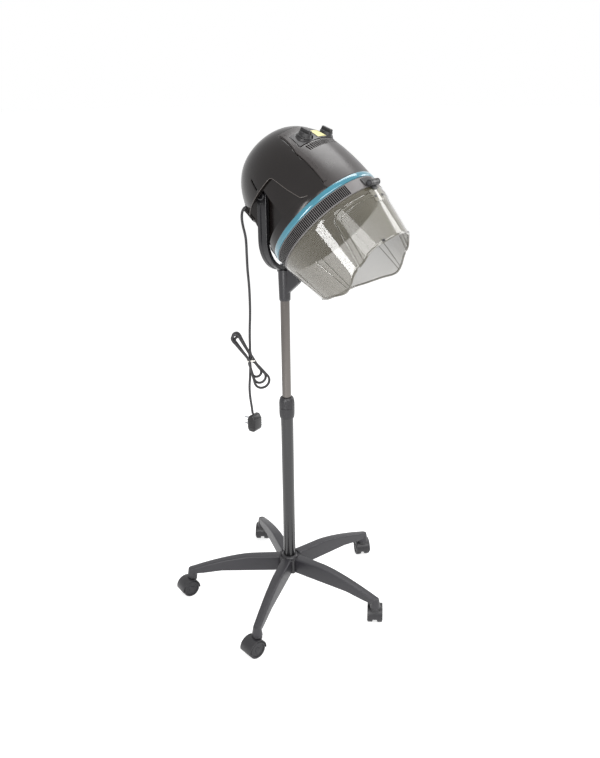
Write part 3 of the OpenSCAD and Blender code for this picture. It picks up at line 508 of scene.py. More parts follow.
def cord_piece(name, points, diameter):
    """Round cord along the points."""
    line = bpy.data.curves.new(name, "CURVE")
    line.dimensions = "3D"
    line.bevel_depth = diameter / 2
    line.bevel_resolution = 4
    line.resolution_u = 5
    line.use_fill_caps = True
    run = line.splines.new("BEZIER")
    run.bezier_points.add(len(points) - 1)
    for knot, point in zip(run.bezier_points, points):
        knot.co = point
        knot.handle_left_type = "AUTO"
        knot.handle_right_type = "AUTO"
    line.materials.append(cord_sheath)
    return put(name, line)


cord_points = cord_line()
cord_lead = cord_piece("cord_lead", cord_points, CORD_D * 0.001)
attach(cord_lead, "cord")
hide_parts("cord_upper", "cord_hank", "cord_lower")


def tie():
    """Flat band round the hank's waist with a folded end."""
    outline = [(-12.0, -9.0), (12.0, -9.0), (12.0, 9.0), (-12.0, 9.0)]
    bm = plate(outline, 4.0, low=-2.0)
    soften(bm, 5.0, 4, where=lambda e: abs(e.verts[0].co.z - e.verts[1].co.z) > 1)
    soften(bm, 0.6, 2)
    add(bm, block((-3, -11.0, -2.2), (3, -8.4, 2.2), 0.6, 2))
    return bm


cord_band = piece("cord_band", tie(), tie_white, "cord", ["cord_tie"], MODEL @ IN_HANK)


def plug():
    """Moulded plug with a stepped grip and a collar at the cord."""
    outline = [
        (-13, -18), (-8, -25), (8, -25), (13, -18), (13, 12), (9, 21), (5, 25), (-5, 25), (-9, 21), (-13, 12)
    ]
    bm = plate(outline, PLUG_T, low=-PLUG_T / 2)
    soften(bm, 3.0, 3, least=15)
    for z in (-12, -6, 0, 6, 12):
        add(bm, block((-13.0, z - 1.2, -PLUG_T / 2 - 0.9), (13.0, z + 1.2, PLUG_T / 2 + 0.9), 0.8, 2))
    return bm


PLUG_PLACE = MODEL @ moved(*PLUG_POS) @ turned_about("Y", 90) @ turned_about("Z", 90)
plug_shell = piece("plug_shell", plug(), plug_black, "cord", ["plug_body"], PLUG_PLACE)


def prongs():
    """Two round pins with rounded ends."""
    bm = bmesh.new()
    profile = [(0, 0), (2.4, 0), (2.4, PIN_LEN - 1.6), (1.6, PIN_LEN - 0.4), (0, PIN_LEN)]
    for side in (-1, 1):
        place = moved(0, 13, side * PIN_GAP / 2) @ turned_about("X", -90)
        add(bm, turned(profile, 24, closed=False), place)
    return bm


plug_prongs = piece(
    "plug_prongs", prongs(), bright_steel, "cord", ["plug_pins"], MODEL @ moved(*PLUG_POS)
)


def relief():
    """Tapered strain relief with ribs, a flange and a neck in the casing."""
    foot = 7.2
    profile = [(0, -8), (5.9, -8), (5.9, 4.8), (9.0, 4.8), (9.0, 6.4), (8.2, foot)]
    ribs = 5
    step = (RELIEF_LEN - foot) / ribs
    for k in range(ribs):
        z = foot + k * step
        radius = 7.0 - k * 2.2 / ribs
        profile += [
            (radius, z + 0.2), (radius, z + step * 0.55), (radius - 1.2, z + step * 0.62),
            (radius - 1.2, z + step * 0.95),
        ]
    profile += [(4.8, RELIEF_LEN - 0.4), (4.2, RELIEF_LEN), (0, RELIEF_LEN)]
    return turned(profile, 40, closed=False)


piece("cord_relief", relief(), relief_rubber, "hood", ["strain_relief"], AT_GLAND)

# ---- Casing ----


def dome_shell(steps=192, rings=56):
    """Open outer skin of the casing, from the accent ring to its crown."""
    profile = [(dome_r(RING_H), RING_H)]
    for k in range(rings):
        angle = math.pi / 2 * k / rings
        radius = CASING_R * math.cos(angle) ** (2 / DOME_Q)
        height = CASING_H * math.sin(angle) ** (2 / DOME_P)
        if height > RING_H + 0.5:
            profile.append((radius, height))
    profile.append((0.0, CASING_H))
    return turned(profile, steps, closed=False)


def near_stretch(point, a, b, margin):
    """Whether a point of an outline's plane is within a margin of the stretch from a to b."""
    along = (b - a).normalized()
    t = (point - a).dot(along)
    return -margin < t < (b - a).length + margin and abs((point - a).cross(along)) < margin


def cut_outline(bm, outline, view, where, closed=True, margin=7.0):
    """Cuts the skin along an outline seen from the side ("YZ") or the front ("XZ")."""
    one, two = (1, 2) if view == "YZ" else (0, 2)
    stretches = list(zip(outline, outline[1:]))
    if closed:
        stretches.append((outline[-1], outline[0]))
    for start, end in stretches:
        a, b = Vector(start), Vector(end)
        if (b - a).length < 0.001:
            continue
        normal = Vector((0, 0, 0))
        normal[one], normal[two] = (b - a).y, -(b - a).x
        spot = Vector((0, 0, 0))
        spot[one], spot[two] = a
        faces = []
        for face in bm.faces:
            centre = face.calc_center_median()
            if not where(centre):
                continue
            reach = max((v.co - centre).length for v in face.verts) + margin
            if near_stretch(Vector((centre[one], centre[two])), a, b, reach):
                faces.append(face)
        if faces:
            split(bm, faces, spot, normal.normalized(), 0.02)


def inside(point, outline):
    """Whether a point lies in an outline."""
    x, y = point
    hit = False
    for (x1, y1), (x2, y2) in zip(outline, outline[1:] + outline[:1]):
        if (y1 > y) != (y2 > y) and x < (x2 - x1) * (y - y1) / (y2 - y1) + x1:
            hit = not hit
    return hit


def chosen(bm, test):
    """The faces whose centre passes the test."""
    return [f for f in bm.faces if test(f.calc_center_median())]


def to_skin(bm):
    """Brings cut points back to the dome's true curve."""
    for vert in bm.verts:
        if vert.co.z < CASING_H - 12 and math.hypot(vert.co.x, vert.co.y) > 1:
            to_radius(vert, dome_r(vert.co.z))


def push_in(bm, faces, depth):
    """Sinks faces by a depth towards the casing's axis, with walls round them."""
    sunk = drawn(bm, faces)
    for vert in points_in(sunk):
        to_radius(vert, math.hypot(vert.co.x, vert.co.y) - depth)
    return faces_in(sunk)


def border(faces):
    """Edges with a chosen face on one side only."""
    known = set(faces)
    edges = {e for f in faces for e in f.edges}
    return [e for e in edges if sum(f in known for f in e.link_faces) == 1 and len(e.link_faces) == 2]


FRONT_OPEN = [(-101, 8), (101, 8), (94, 128), (71, 204), (-71, 204), (-94, 128)]
RECESS_LINE = [(-36, 125), (-42, 110), (-52, 72), (-63, 36), (-76, 31), (200, 31), (200, 125)]
WELL_FRONT = AXIS_OFF - 1.5 * ARM_W - 2
WELL_ROOF = 157.3
WELL_SHOULDER = 125
WELL_BEND = 97
WELL_LINE = [
    (WELL_X, 38), (200, 38), (200, WELL_SHOULDER), (WELL_SHOULDER, WELL_SHOULDER),
    (WELL_BEND, WELL_ROOF), (WELL_X, WELL_ROOF),
]
SIDE_SLOT_TURN = 5
SIDE_SLOT_W = 4.4
SIDE_SLOT_LOW = 132.3
SIDE_SLOT_TOP = 165.3


def side_slot(bm, side):
    """Opens a vent slot in the casing's side."""
    back = turned_about("Z", -SIDE_SLOT_TURN if side > 0 else SIDE_SLOT_TURN - 180)
    half = SIDE_SLOT_W / 2
    bmesh.ops.transform(bm, matrix=back, verts=bm.verts)
    planes = (
        ((0, -half, 0), (0, 1, 0)), ((0, half, 0), (0, 1, 0)),
        ((0, 0, SIDE_SLOT_LOW), (0, 0, 1)), ((0, 0, SIDE_SLOT_TOP), (0, 0, 1)),
    )
    for spot, normal in planes:
        local = chosen(bm, lambda c: c.x > 60 and abs(c.y) < 14 and 118 < c.z < 178)
        split(bm, local, spot, normal, 0.02)
    gone = chosen(bm, lambda c: c.x > 60 and abs(c.y) < half and SIDE_SLOT_LOW < c.z < SIDE_SLOT_TOP)
    bmesh.ops.delete(bm, geom=gone, context="FACES")
    bmesh.ops.transform(bm, matrix=back.inverted(), verts=bm.verts)


def casing():
    """Casing with its front opening, recess, arm wells and side slots."""
    bm = dome_shell()
    cut_outline(bm, FRONT_OPEN, "XZ", lambda c: c.y < -50)
    cut_outline(bm, RECESS_LINE, "YZ", lambda c: 20 < c.z < 140)
    for side in (-1, 1):
        line = [(side * x, z) for x, z in WELL_LINE]
        cut_outline(bm, line, "XZ", lambda c: c.y > WELL_FRONT - 10 and c.x * side > 40)
    cut_outline(bm, [(WELL_FRONT, 30), (WELL_FRONT, 170)], "YZ", lambda c: abs(c.x) > 60, closed=False)
    to_skin(bm)
    for side in (-1, 1):
        side_slot(bm, side)
    gone = chosen(bm, lambda c: c.y < -50 and inside((c.x, c.z), FRONT_OPEN))
    bmesh.ops.delete(bm, geom=gone, context="FACES")
    low = push_in(bm, chosen(bm, lambda c: inside((c.y, c.z), RECESS_LINE)), RECESS_DEPTH)
    known = set(low)
    step = border(low)
    soften(bm, 2.2, 4, least=35, where=lambda e: e in step or not known.isdisjoint(e.link_faces))
    wells = chosen(
        bm, lambda c: c.y > WELL_FRONT and inside((abs(c.x), c.z), WELL_LINE) and abs(c.x) > WELL_X
    )
    for depth in (WELL_SHOULDER, WELL_BEND, WELL_X):
        sunk = drawn(bm, wells)
        wells = faces_in(sunk)
        for vert in points_in(sunk):
            vert.co.x = math.copysign(min(abs(vert.co.x), depth), vert.co.x)
            if depth < WELL_SHOULDER and vert.co.z > WELL_SHOULDER - 4:
                vert.co.z = WELL_ROOF
    bmesh.ops.remove_doubles(bm, verts=bm.verts, dist=0.01)
    return bm


rear = piece(
    "casing_shell", casing(), casing_gloss, "hood", ["rear_casing"], IN_CASING, crease=38
)
even_normals(wall(rear, REAR_WALL))
piece("gland_boss", disc(11, -3, 4.8, 1.2, 6.0), casing_gloss, "hood", (), AT_GLAND)

# ---- Drawn and bent shapes ----


def drawn_out(stations, count, place_at, ends=True):
    """Closed section of count points drawn from station to station."""
    bm = bmesh.new()
    mark = bm.verts.layers.int.new("mark")
    points = [bm.verts.new(place_at(stations[0], k)) for k in range(count)]
    for k, point in enumerate(points):
        point[mark] = k
    edges = [bm.edges.new(pair) for pair in zip(points, points[1:] + points[:1])]
    if ends:
        bm.faces.new(points)
    for station in stations[1:]:
        fresh = bmesh.ops.extrude_edge_only(bm, edges=edges)["geom"]
        points = set(points_in(fresh))
        edges = [g for g in fresh if isinstance(g, bmesh.types.BMEdge) and points.issuperset(g.verts)]
        for point in points:
            point.co = place_at(station, point[mark])
    if ends:
        bm.faces.new(sorted(points, key=lambda v: v[mark]))
    bm.verts.layers.int.remove(mark)
    bmesh.ops.remove_doubles(bm, verts=bm.verts, dist=0.0005)
    bmesh.ops.recalc_face_normals(bm, faces=bm.faces)
    return bm


def bead(points, radius, sides=8):
    """Round bead along points of a shell that stands round Z."""
    line = [Vector(p) for p in points]
    last = len(line) - 1

    def ring_at(spot, k):
        ahead = (line[min(spot + 1, last)] - line[max(spot - 1, 0)]).normalized()
        out = Vector((line[spot].x, line[spot].y, 0)).normalized()
        over = ahead.cross(out).normalized()
        out = over.cross(ahead)
        angle = TURN * k / sides
        return line[spot] + radius * (math.cos(angle) * out + math.sin(angle) * over)

    return drawn_out(range(last + 1), sides, ring_at)


def sheet(outline, step=5.0):
    """Flat sheet in XZ that faces -Y, with an even net of faces."""
    bm = bmesh.new()
    face = bm.faces.new([bm.verts.new((x, 0, z)) for x, z in outline])
    face.normal_update()
    if face.normal.y > 0:
        bmesh.ops.reverse_faces(bm, faces=[face])
    for axis in (0, 2):
        low = min(v.co[axis] for v in bm.verts)
        high = max(v.co[axis] for v in bm.verts)
        normal = Vector((0, 0, 0))
        normal[axis] = 1
        for k in range(math.ceil(low / step), math.floor(high / step) + 1):
            every = [*bm.verts, *bm.edges, *bm.faces]
            bmesh.ops.bisect_plane(bm, geom=every, dist=0.01, plane_co=normal * (k * step), plane_no=normal)
    return bm


def raised(bm, faces, height):
    """Lifts faces of a flat sheet towards -Y, with walls round them."""
    lifted = drawn(bm, faces)
    bmesh.ops.translate(bm, vec=(0, -height, 0), verts=points_in(lifted))
    return faces_in(lifted)


def slab(bm, thick, edge=0.0, lift=0.0):
    """Gives a flat sheet a thickness from lift outwards, with rounded edges."""
    bmesh.ops.translate(bm, vec=(0, -lift - thick, 0), verts=bm.verts)
    back = drawn(bm, list(bm.faces), keep=True)
    bmesh.ops.translate(bm, vec=(0, thick, 0), verts=points_in(back))
    bmesh.ops.recalc_face_normals(bm, faces=bm.faces)
    return soften(bm, edge, 2, least=40) if edge else bm


def wrapped(bm, radius_at):
    """Bends what lies flat in XZ round Z, onto the front of a shell."""
    for vert in bm.verts:
        radius = radius_at(vert.co.z)
        angle = math.asin(max(-1.0, min(1.0, vert.co.x / radius)))
        out = radius - vert.co.y
        vert.co.x = out * math.sin(angle)
        vert.co.y = -out * math.cos(angle)
    bm.normal_update()
    return bm


def rounded(outline, radius, parts=4):
    """Outline with its corners rounded."""
    points = []
    count = len(outline)
    for k in range(count):
        here = Vector(outline[k])
        back = (Vector(outline[k - 1]) - here).normalized()
        ahead = (Vector(outline[(k + 1) % count]) - here).normalized()
        start, end = here + back * radius, here + ahead * radius
        for t in range(parts + 1):
            u = t / parts
            points.append(tuple((1 - u) ** 2 * start + 2 * u * (1 - u) * here + u * u * end))
    return points


def carved(bm, outline, where=lambda c: True):
    """Cuts an outline, seen from the front, out of a sheet."""
    cut_outline(bm, outline, "XZ", where)
    gone = chosen(bm, lambda c: where(c) and inside((c.x, c.z), outline))
    bmesh.ops.delete(bm, geom=gone, context="FACES")
    return bm


def paced(line, step=5):
    """Even steps along a line of corners, without its last corner."""
    points = []
    for (x0, y0), (x1, y1) in zip(line, line[1:]):
        parts = max(1, round(math.hypot(x1 - x0, y1 - y0) / step))
        points += [(x0 + (x1 - x0) * k / parts, y0 + (y1 - y0) * k / parts) for k in range(parts)]
    return points


def recess_highlight_lips():
    """Rounded lips along the front and top of the side recesses, in a lighter colour that paints the
    highlight along their edges.
    """
    bm = bmesh.new()
    line = [
        (-77, 29), (-70, 32), (-63, 37), (-52, 72), (-42, 110), (-38, 121), (-33, 125.5), (20, 125.5),
        (97, 125.5),
    ]
    for side in (-1, 1):
        add(bm, bead([(side * math.sqrt(dome_r(z) ** 2 - y * y), y, z) for y, z in paced(line)], 0.8))
    return bm


# The lips' lighter colour is a painted highlight along the recess edges.
piece("recess_highlight_lips", recess_highlight_lips(), painted_edge_highlight, "hood", (), IN_CASING)

# ---- Front cover and controls ----

COVER_LINE = [(-100.3, 14), (100.3, 14), (93.6, 128), (70.6, 203.6), (-70.6, 203.6), (-93.6, 128)]
CONTROL_LINE = [(-77.5, 138), (77.5, 138), (67, 178), (-67, 178)]
CONTROL_HOLE = [
    (x + math.copysign(SEAM, x), z + math.copysign(SEAM, z - KNOB_Z)) for x, z in CONTROL_LINE
]
RIB_LINE = [(-98.4, 34), (-93, 128), (-70.2, 198), (-66.4, 201), (-62.6, 198), (-84.4, 128), (-89.8, 34)]
RIB_END = [(-94.1 + 4.3 * math.cos(a), 34 + 4.3 * math.sin(a)) for a in (-0.6, -1.1, -1.57, -2.04, -2.5)]
SLOT_COUNT = 25
SLOT_PITCH = 5.6
SLOT_HALF = 1.2
SLOT_LOW = 116
SLOT_TOP = 133


def mirrored(outline):
    """The same outline on the other side."""
    return [(-x, z) for x, z in reversed(outline)]


def seat_line(side, radius, lift, parts=40):
    """Front view of a knob's round seat where it meets the dome."""
    line = []
    for k in range(parts):
        angle = TURN * k / parts
        height = 0.0
        for _ in range(16):
            spot = at_knob(side) @ Vector((radius * math.cos(angle), radius * math.sin(angle), height))
            out = math.hypot(spot.x, spot.y)
            height -= 0.9 * (out - dome_r(spot.z) - lift)
        line.append((dome_r(spot.z) * spot.x / out, spot.z))
    return line


def front_cover():
    """Front cover with side ribs, a row of fine slots and the control opening."""
    bm = sheet(COVER_LINE)
    carved(bm, CONTROL_HOLE)
    for side in (-1, 1):
        carved(bm, seat_line(side, SEAT_R + SEAM, 0.0))
    for z in (SLOT_LOW, SLOT_TOP):
        local = chosen(bm, lambda c: SLOT_LOW - 8 < c.z < SLOT_TOP + 5 and abs(c.x) < 74)
        split(bm, local, (0, 0, z), (0, 0, 1))
    for k in range(SLOT_COUNT):
        middle = (k - (SLOT_COUNT - 1) / 2) * SLOT_PITCH
        for x in (middle - SLOT_HALF, middle + SLOT_HALF):
            local = chosen(bm, lambda c: SLOT_LOW < c.z < SLOT_TOP and abs(c.x - x) < 8)
            split(bm, local, (x, 0, 0), (1, 0, 0))
        gone = chosen(bm, lambda c: SLOT_LOW < c.z < SLOT_TOP and abs(c.x - middle) < SLOT_HALF)
        bmesh.ops.delete(bm, geom=gone, context="FACES")
    for outline in (RIB_LINE + RIB_END, mirrored(RIB_LINE + RIB_END)):
        cut_outline(bm, outline, "XZ", lambda c: True, margin=2.0)
        top = raised(bm, chosen(bm, lambda c: abs(c.y) < 0.01 and inside((c.x, c.z), outline)), 2.5)
        rim = set(border(top))
        soften(bm, 1.3, 3, least=50, where=rim.__contains__)
    return wrapped(bm, dome_r)


cover = piece("front_cover", front_cover(), panel_gloss, "hood", ["front_panel"], IN_CASING)
even_normals(wall(cover, COVER_WALL))


def control_strip():
    """Control strip with two round seats for the knobs."""
    bm = sheet(CONTROL_LINE)
    for side in (-1, 1):
        carved(bm, seat_line(side, SEAT_R, 1.0))
    wrapped(slab(bm, 3.0, 0.6, lift=-2.0), dome_r)
    for side in (-1, 1):
        cup = turned([(5, -0.4), (17.5, -0.4), (18, 0), (20, 0), (20.5, -0.5), (20.5, -8), (5, -8)], 64)
        add(bm, cup, at_knob(side))
    return bm


strip = piece(
    "control_strip", control_strip(), control_satin, "hood", ["control_panel"], IN_CASING
)
even_normals(strip)

DIAL_LINE = [(-17, 143), (17, 143), (15, 171), (-15, 171)]
dial = wrapped(slab(sheet(rounded(DIAL_LINE, 2.0), 4.0), 0.7, 0.2, lift=1.1), dome_r)
piece("dial_scale", dial, dial_print, "hood", ["dial_plate"], IN_CASING)


def dial_ticks():
    """Plain strokes round both knobs."""
    bm = bmesh.new()
    for side in (-1, 1):
        for degrees in (-26, -13, 0, 13, 26):
            angle = math.radians(degrees)
            along = Vector((-side * math.cos(angle), math.sin(angle)))
            across = Vector((-along.y, along.x)) * (0.7 if degrees else 1.1)
            start = Vector((side * KNOB_X, KNOB_Z)) + along * 24.5
            end = start + along * 3.6
            corners = [tuple(start - across), tuple(end - across), tuple(end + across), tuple(start + across)]
            add(bm, wrapped(slab(sheet(corners, 3.0), 0.12, lift=1.78), dome_r))
    return bm


piece("dial_marks", dial_ticks(), dial_ink, "hood", (), IN_CASING)


def knob():
    """Knob with a stepped skirt, a round body and a raised bar."""
    profile = [
        (3.1, 0.3), (18.3, 0.3), (19, 1), (18.5, 3.2), (17.8, 4.2), (16.8, 4.6), (16.3, 5.4), (15.6, 11),
        (14.6, 12.2), (3.1, 12.6),
    ]
    outline = [
        (-5.4, -14), (-3.4, -16), (3.4, -16), (5.4, -14), (5.4, 14), (3.4, 16), (-3.4, 16), (-5.4, 14),
    ]
    bar = plate(outline, KNOB_H - 4.8, low=5.0)
    for vert in bar.verts:
        if vert.co.z > KNOB_H - 4:
            vert.co.x *= 0.8
            vert.co.y *= 0.92
    soften(bar, 1.3, 3, least=20)
    return add(turned(profile, 72), bar)


for side, node, body in ((-1, "timer_knob", "timer_dial"), (1, "heat_knob", "heat_dial")):
    piece(node + "_grip", knob(), knob_matt, body, [node], IN_CASING @ at_knob(side))

# ---- Rings and bowl ----


def accent_band():
    """Crowned accent ring with its inner lip and screw bosses."""
    profile = [
        (144, 0), (150.4, 0), (151.4, 0.6), (152.2, 2.2), (152.5, 4.6), (152.5, 9.4), (152.2, 11.8),
        (151.4, 13.4), (150.6, 14), (147.6, 14), (147.6, 22), (144, 22),
    ]
    bm = turned(profile, 240)
    for angle in (45, 135, 225, 315):
        boss = disc(5.5, 0.2, 12, 0.6, 2.0, 24)
        add(bm, boss, turned_about("Z", angle) @ moved(139, 0, 0))
    return bm


piece("accent_band", accent_band(), accent_gloss, "hood", ["trim_ring"], IN_CASING)

VENT_R = 150.0
RIBS = 196
RIB_STEP = 4
PAD_ANGLE = 27.0
RIB_FLOOR = 147.2


def ribbed_band():
    """Vent ring with upright ribs, painted shade between them and a smooth pad at the hinge."""
    heights = (0.8 - VENT_H, 2.4 - VENT_H, 3.4 - VENT_H, -3.4, -2.4, -0.8)
    outside = [(VENT_R, z) for z in heights]
    profile = [(146, -VENT_H), (149.2, -VENT_H), *outside, (149.2, 0), (146, 0)]
    bm = turned(profile, RIBS * RIB_STEP)
    for vert in bm.verts:
        around = math.degrees(math.atan2(vert.co.x, -vert.co.y))
        radius = math.hypot(vert.co.x, vert.co.y)
        if abs(around) < PAD_ANGLE or radius < VENT_R - 0.1 or not 3 - VENT_H < vert.co.z < -3:
            continue
        if round((around + 360) * RIBS * RIB_STEP / 360) % RIB_STEP > 1:
            to_radius(vert, RIB_FLOOR)
    # Groove floors and rib sides take the second, near-black material: painted shade between the ribs.
    for face in bm.faces:
        centre = face.calc_center_median()
        if 146.5 < math.hypot(centre.x, centre.y) < 149.3 and -27.5 < centre.z < -2.5:
            face.material_index = 1
    return bm


band = piece(
    "ribbed_band", ribbed_band(), vent_grey, "hood", ["vent_ring"], IN_CASING, crease=28
)
band.data.materials.append(vent_shade_paint)

BOWL_TOP = 28.0
BOWL_WALL = 2.5
BOWL_FLAT_R = 72.0
HOLE_PITCH = 21.0


def bowl_crown():
    """Flat perforated crown of the inner bowl."""
    bm = bmesh.new()
    bmesh.ops.create_circle(bm, segments=96, radius=BOWL_FLAT_R)
    for ring in (1, 2, 3):
        for k in range(6 * ring):
            place = turned_about("Z", 60 * k / ring) @ moved(HOLE_PITCH * ring, 0, 0)
            bmesh.ops.create_circle(bm, segments=20, radius=5, matrix=place)
    bmesh.ops.triangle_fill(
        bm, use_beauty=True, use_dissolve=False, edges=list(bm.edges), normal=(0, 0, 1)
    )
    bmesh.ops.recalc_face_normals(bm, faces=bm.faces)
    bmesh.ops.translate(bm, vec=(0, 0, BOWL_TOP), verts=bm.verts)
    under = drawn(bm, list(bm.faces), keep=True)
    bmesh.ops.translate(bm, vec=(0, 0, -BOWL_WALL), verts=points_in(under))
    bmesh.ops.recalc_face_normals(bm, faces=bm.faces)
    return bm


def inner_bowl():
    """Perforated bowl with a sloped shoulder, a flange and a skirt."""
    profile = [
        (71.6, 28), (84, 25.4), (100, 20), (111, 12.8), (118.6, 6), (121.4, 2), (122, 0), (145.8, 0),
        (145.8, -2.5), (123, -2.5), (125.6, -6), (127.4, -11), (128, -15), (128, -35.4), (127.2, -36),
        (126.2, -36), (125.5, -35.4), (125.5, -15), (123, -9), (117.5, 4), (110, 9.6), (99, 17.5),
        (83.6, 22.9), (71.6, 25.5),
    ]
    return add(bowl_crown(), turned(profile, 160))


piece("bowl_shell", inner_bowl(), bowl_grey, "hood", ["inner_bowl"], IN_CASING)

# ---- Visor and door ----

RIM_LINE = [
    (-160, -158), (-120, -158), (-91, -158), (-66, -167), (-36, -173), (-6, -186), (16, -188), (51, -171),
    (86, -155), (106, -145), (125, -140), (160, -140),
]
VISOR_STEPS = 264
VISOR_ROWS = 26
DOOR_HALF = 120.0
DOOR_TOP = 47.0
DOOR_CORNER = 15.0
DOOR_SHOULDER = DOOR_TOP + DOOR_CORNER
DOOR_FOOT = VISOR_LOW + 5.0
DOOR_TAPER = 6.5
RIM_BEAD = 2.7


def rim_at(y):
    """Height of the visor's lower edge at a place from front to back."""
    for k in range(1, len(RIM_LINE) - 2):
        (y0, z0), (y1, z1), (y2, z2), (y3, z3) = RIM_LINE[k - 1:k + 3]
        if y <= y2 or k == len(RIM_LINE) - 3:
            break
    t = min(1.0, max(0.0, (y - y1) / (y2 - y1)))
    first = (z2 - z0) / (y2 - y0) * (y2 - y1)
    last = (z3 - z1) / (y3 - y1) * (y2 - y1)
    return (
        (2 * t ** 3 - 3 * t ** 2 + 1) * z1 + (t ** 3 - 2 * t ** 2 + t) * first
        + (3 * t ** 2 - 2 * t ** 3) * z2 + (t ** 3 - t ** 2) * last
    )


def visor_r_at(z):
    """Radius of the visor's outside at a height."""
    return VISOR_R - (VISOR_R - VISOR_LOW_R) * max(0.0, -VISOR_BEND - z) / (VISOR_LOW - VISOR_BEND)


def rim_low(angle):
    """Height of the lower edge at an angle from the front."""
    z = -165.0
    for _ in range(12):
        z = rim_at(-visor_r_at(z) * math.cos(angle))
    return z


def on_visor(angle, z, out=0.0):
    """Point on the visor's outside, lifted by out."""
    radius = visor_r_at(z) + out
    return Vector((radius * math.sin(angle), -radius * math.cos(angle), z))


def visor_skin():
    """Open skin of visor and door together."""
    neck = [
        (145.7, -2.8), (145.7, -16), (145.7, -29.6), (146.4, -30.3), (148.4, -30.3), (149, -31),
        (149, -34.4),
    ]
    rows = [*neck, *range(VISOR_ROWS + 1)]

    def skin_at(row, k):
        angle = TURN * k / VISOR_STEPS
        if isinstance(row, tuple):
            return Vector((row[0] * math.sin(angle), -row[0] * math.cos(angle), row[1]))
        return on_visor(angle, -VISOR_BEND + (rim_low(angle) + VISOR_BEND) * row / VISOR_ROWS)

    bm = drawn_out(rows, VISOR_STEPS, skin_at, ends=False)
    low = min(bm.faces, key=lambda f: f.calc_center_median().y)
    if low.normal.y > 0:
        bmesh.ops.reverse_faces(bm, faces=bm.faces)
    return bm


def door_line(grow=0.0):
    """Front view of the door, grown by a seam."""
    half = DOOR_HALF + grow
    foot = half - DOOR_TAPER
    line = [(-foot, -DOOR_FOOT), (foot, -DOOR_FOOT)]
    for side, start in ((1, 0), (-1, 90)):
        for k in range(7):
            angle = math.radians(start + 15 * k)
            x = side * (half - DOOR_CORNER) + DOOR_CORNER * math.cos(angle)
            line.append((x, grow - DOOR_SHOULDER + DOOR_CORNER * math.sin(angle)))
    return line


def at_door(centre):
    """Whether a point is on the door's side of the visor."""
    return centre.y < -40 and centre.z < -36


def visor_wall():
    """Visor with the door's opening."""
    return carved(visor_skin(), door_line(SEAM), at_door)


def door_wall():
    """Door with a raised border."""
    bm = visor_skin()
    outline = door_line()
    cut_outline(bm, outline, "XZ", at_door)
    gone = chosen(bm, lambda c: not at_door(c) or not inside((c.x, c.z), outline))
    bmesh.ops.delete(bm, geom=gone, context="FACES")
    field = door_line(-8.0)
    cut_outline(bm, field, "XZ", lambda c: True)
    top = push_in(bm, chosen(bm, lambda c: not inside((c.x, c.z), field)), -0.9)
    rim = set(border(top))
    soften(bm, 0.4, 2, least=45, where=rim.__contains__)
    return bm


def half_door_at(z):
    """Half the door's width at a height."""
    return DOOR_HALF - DOOR_TAPER * max(0.0, -DOOR_SHOULDER - z) / (DOOR_FOOT - DOOR_SHOULDER)


def rim_run(door):
    """Points of the lower edge that belong to the door, or to the visor."""
    middle = 0.0 if door else math.pi
    points = []
    for k in range(-360, 361):
        angle = middle + math.pi * k / 360
        spot = on_visor(angle, rim_low(angle) + 0.6, -1.5)
        edge = half_door_at(spot.z) + (-1.2 if door else 1.6)
        if (math.cos(angle) > 0 and abs(spot.x) < edge) == door:
            points.append(spot)
    return points


visor_main = piece("visor_shell", visor_wall(), visor_smoke, "hood", ["visor"], IN_CASING)
door_main = piece("door_shell", door_wall(), door_smoke, "door", ["visor_door"], IN_CASING)
even_normals(wall(visor_main, VISOR_WALL))
even_normals(wall(door_main, VISOR_WALL))
piece("visor_rim", bead(rim_run(False), RIM_BEAD), rim_smoke, "hood", (), IN_CASING)


def crease(side, top_angle, low_angle, top_z):
    """Fine upright crease down to the lower edge."""
    points = []
    low_z = rim_low(math.radians(low_angle)) + 2
    for k in range(13):
        t = k / 12
        angle = side * math.radians(top_angle + (low_angle - top_angle) * t)
        points.append(on_visor(angle, top_z + (low_z - top_z) * t, 0.1))
    return bead(points, 0.85, 6)


def edge_run(grow):
    """Points along the door's sides and top on the visor, down to the lower edge."""
    line = door_line(grow)
    points = []
    for x, z in paced([*line[1:], line[0]]):
        y = -math.sqrt(visor_r_at(z) ** 2 - x * x)
        if z > rim_at(y) + 1:
            points.append(on_visor(math.atan2(x, -y), z, 0.1))
    return points


visor_creases = bmesh.new()
door_trim = bead(rim_run(True), RIM_BEAD)
for side in (-1, 1):
    add(visor_creases, crease(side, 87.5, 87.2, -91))
    add(visor_creases, crease(side, 94.9, 90.9, -91))
    add(door_trim, crease(side, 47.6, 45.6, -96))
add(visor_creases, bead(edge_run(1.6), 1.0, 6))
add(door_trim, bead(edge_run(-8.0), 0.9, 6))
piece("visor_creases", visor_creases, rim_smoke, "hood", (), IN_CASING)
piece("door_rim", door_trim, rim_smoke, "door", (), IN_CASING)


def door_buffers():
    """Small rubber buffers on the door's lower edge."""
    bm = bmesh.new()
    for side in (-1, 1):
        angle = side * 0.49
        spot = on_visor(angle, rim_low(angle) + 3.4)
        radius = math.hypot(spot.x, spot.y)
        low, high = (-3.6, -radius - 1.4, spot.z - 3.2), (3.6, -radius + 3.2, spot.z + 3.4)
        rubber = block(low, high, 1.2, 3)
        add(bm, rubber, turned_about("Z", math.degrees(angle)))
    return bm


piece("door_buffers", door_buffers(), relief_rubber, "door", (), IN_CASING)

# ---- Hinge ----


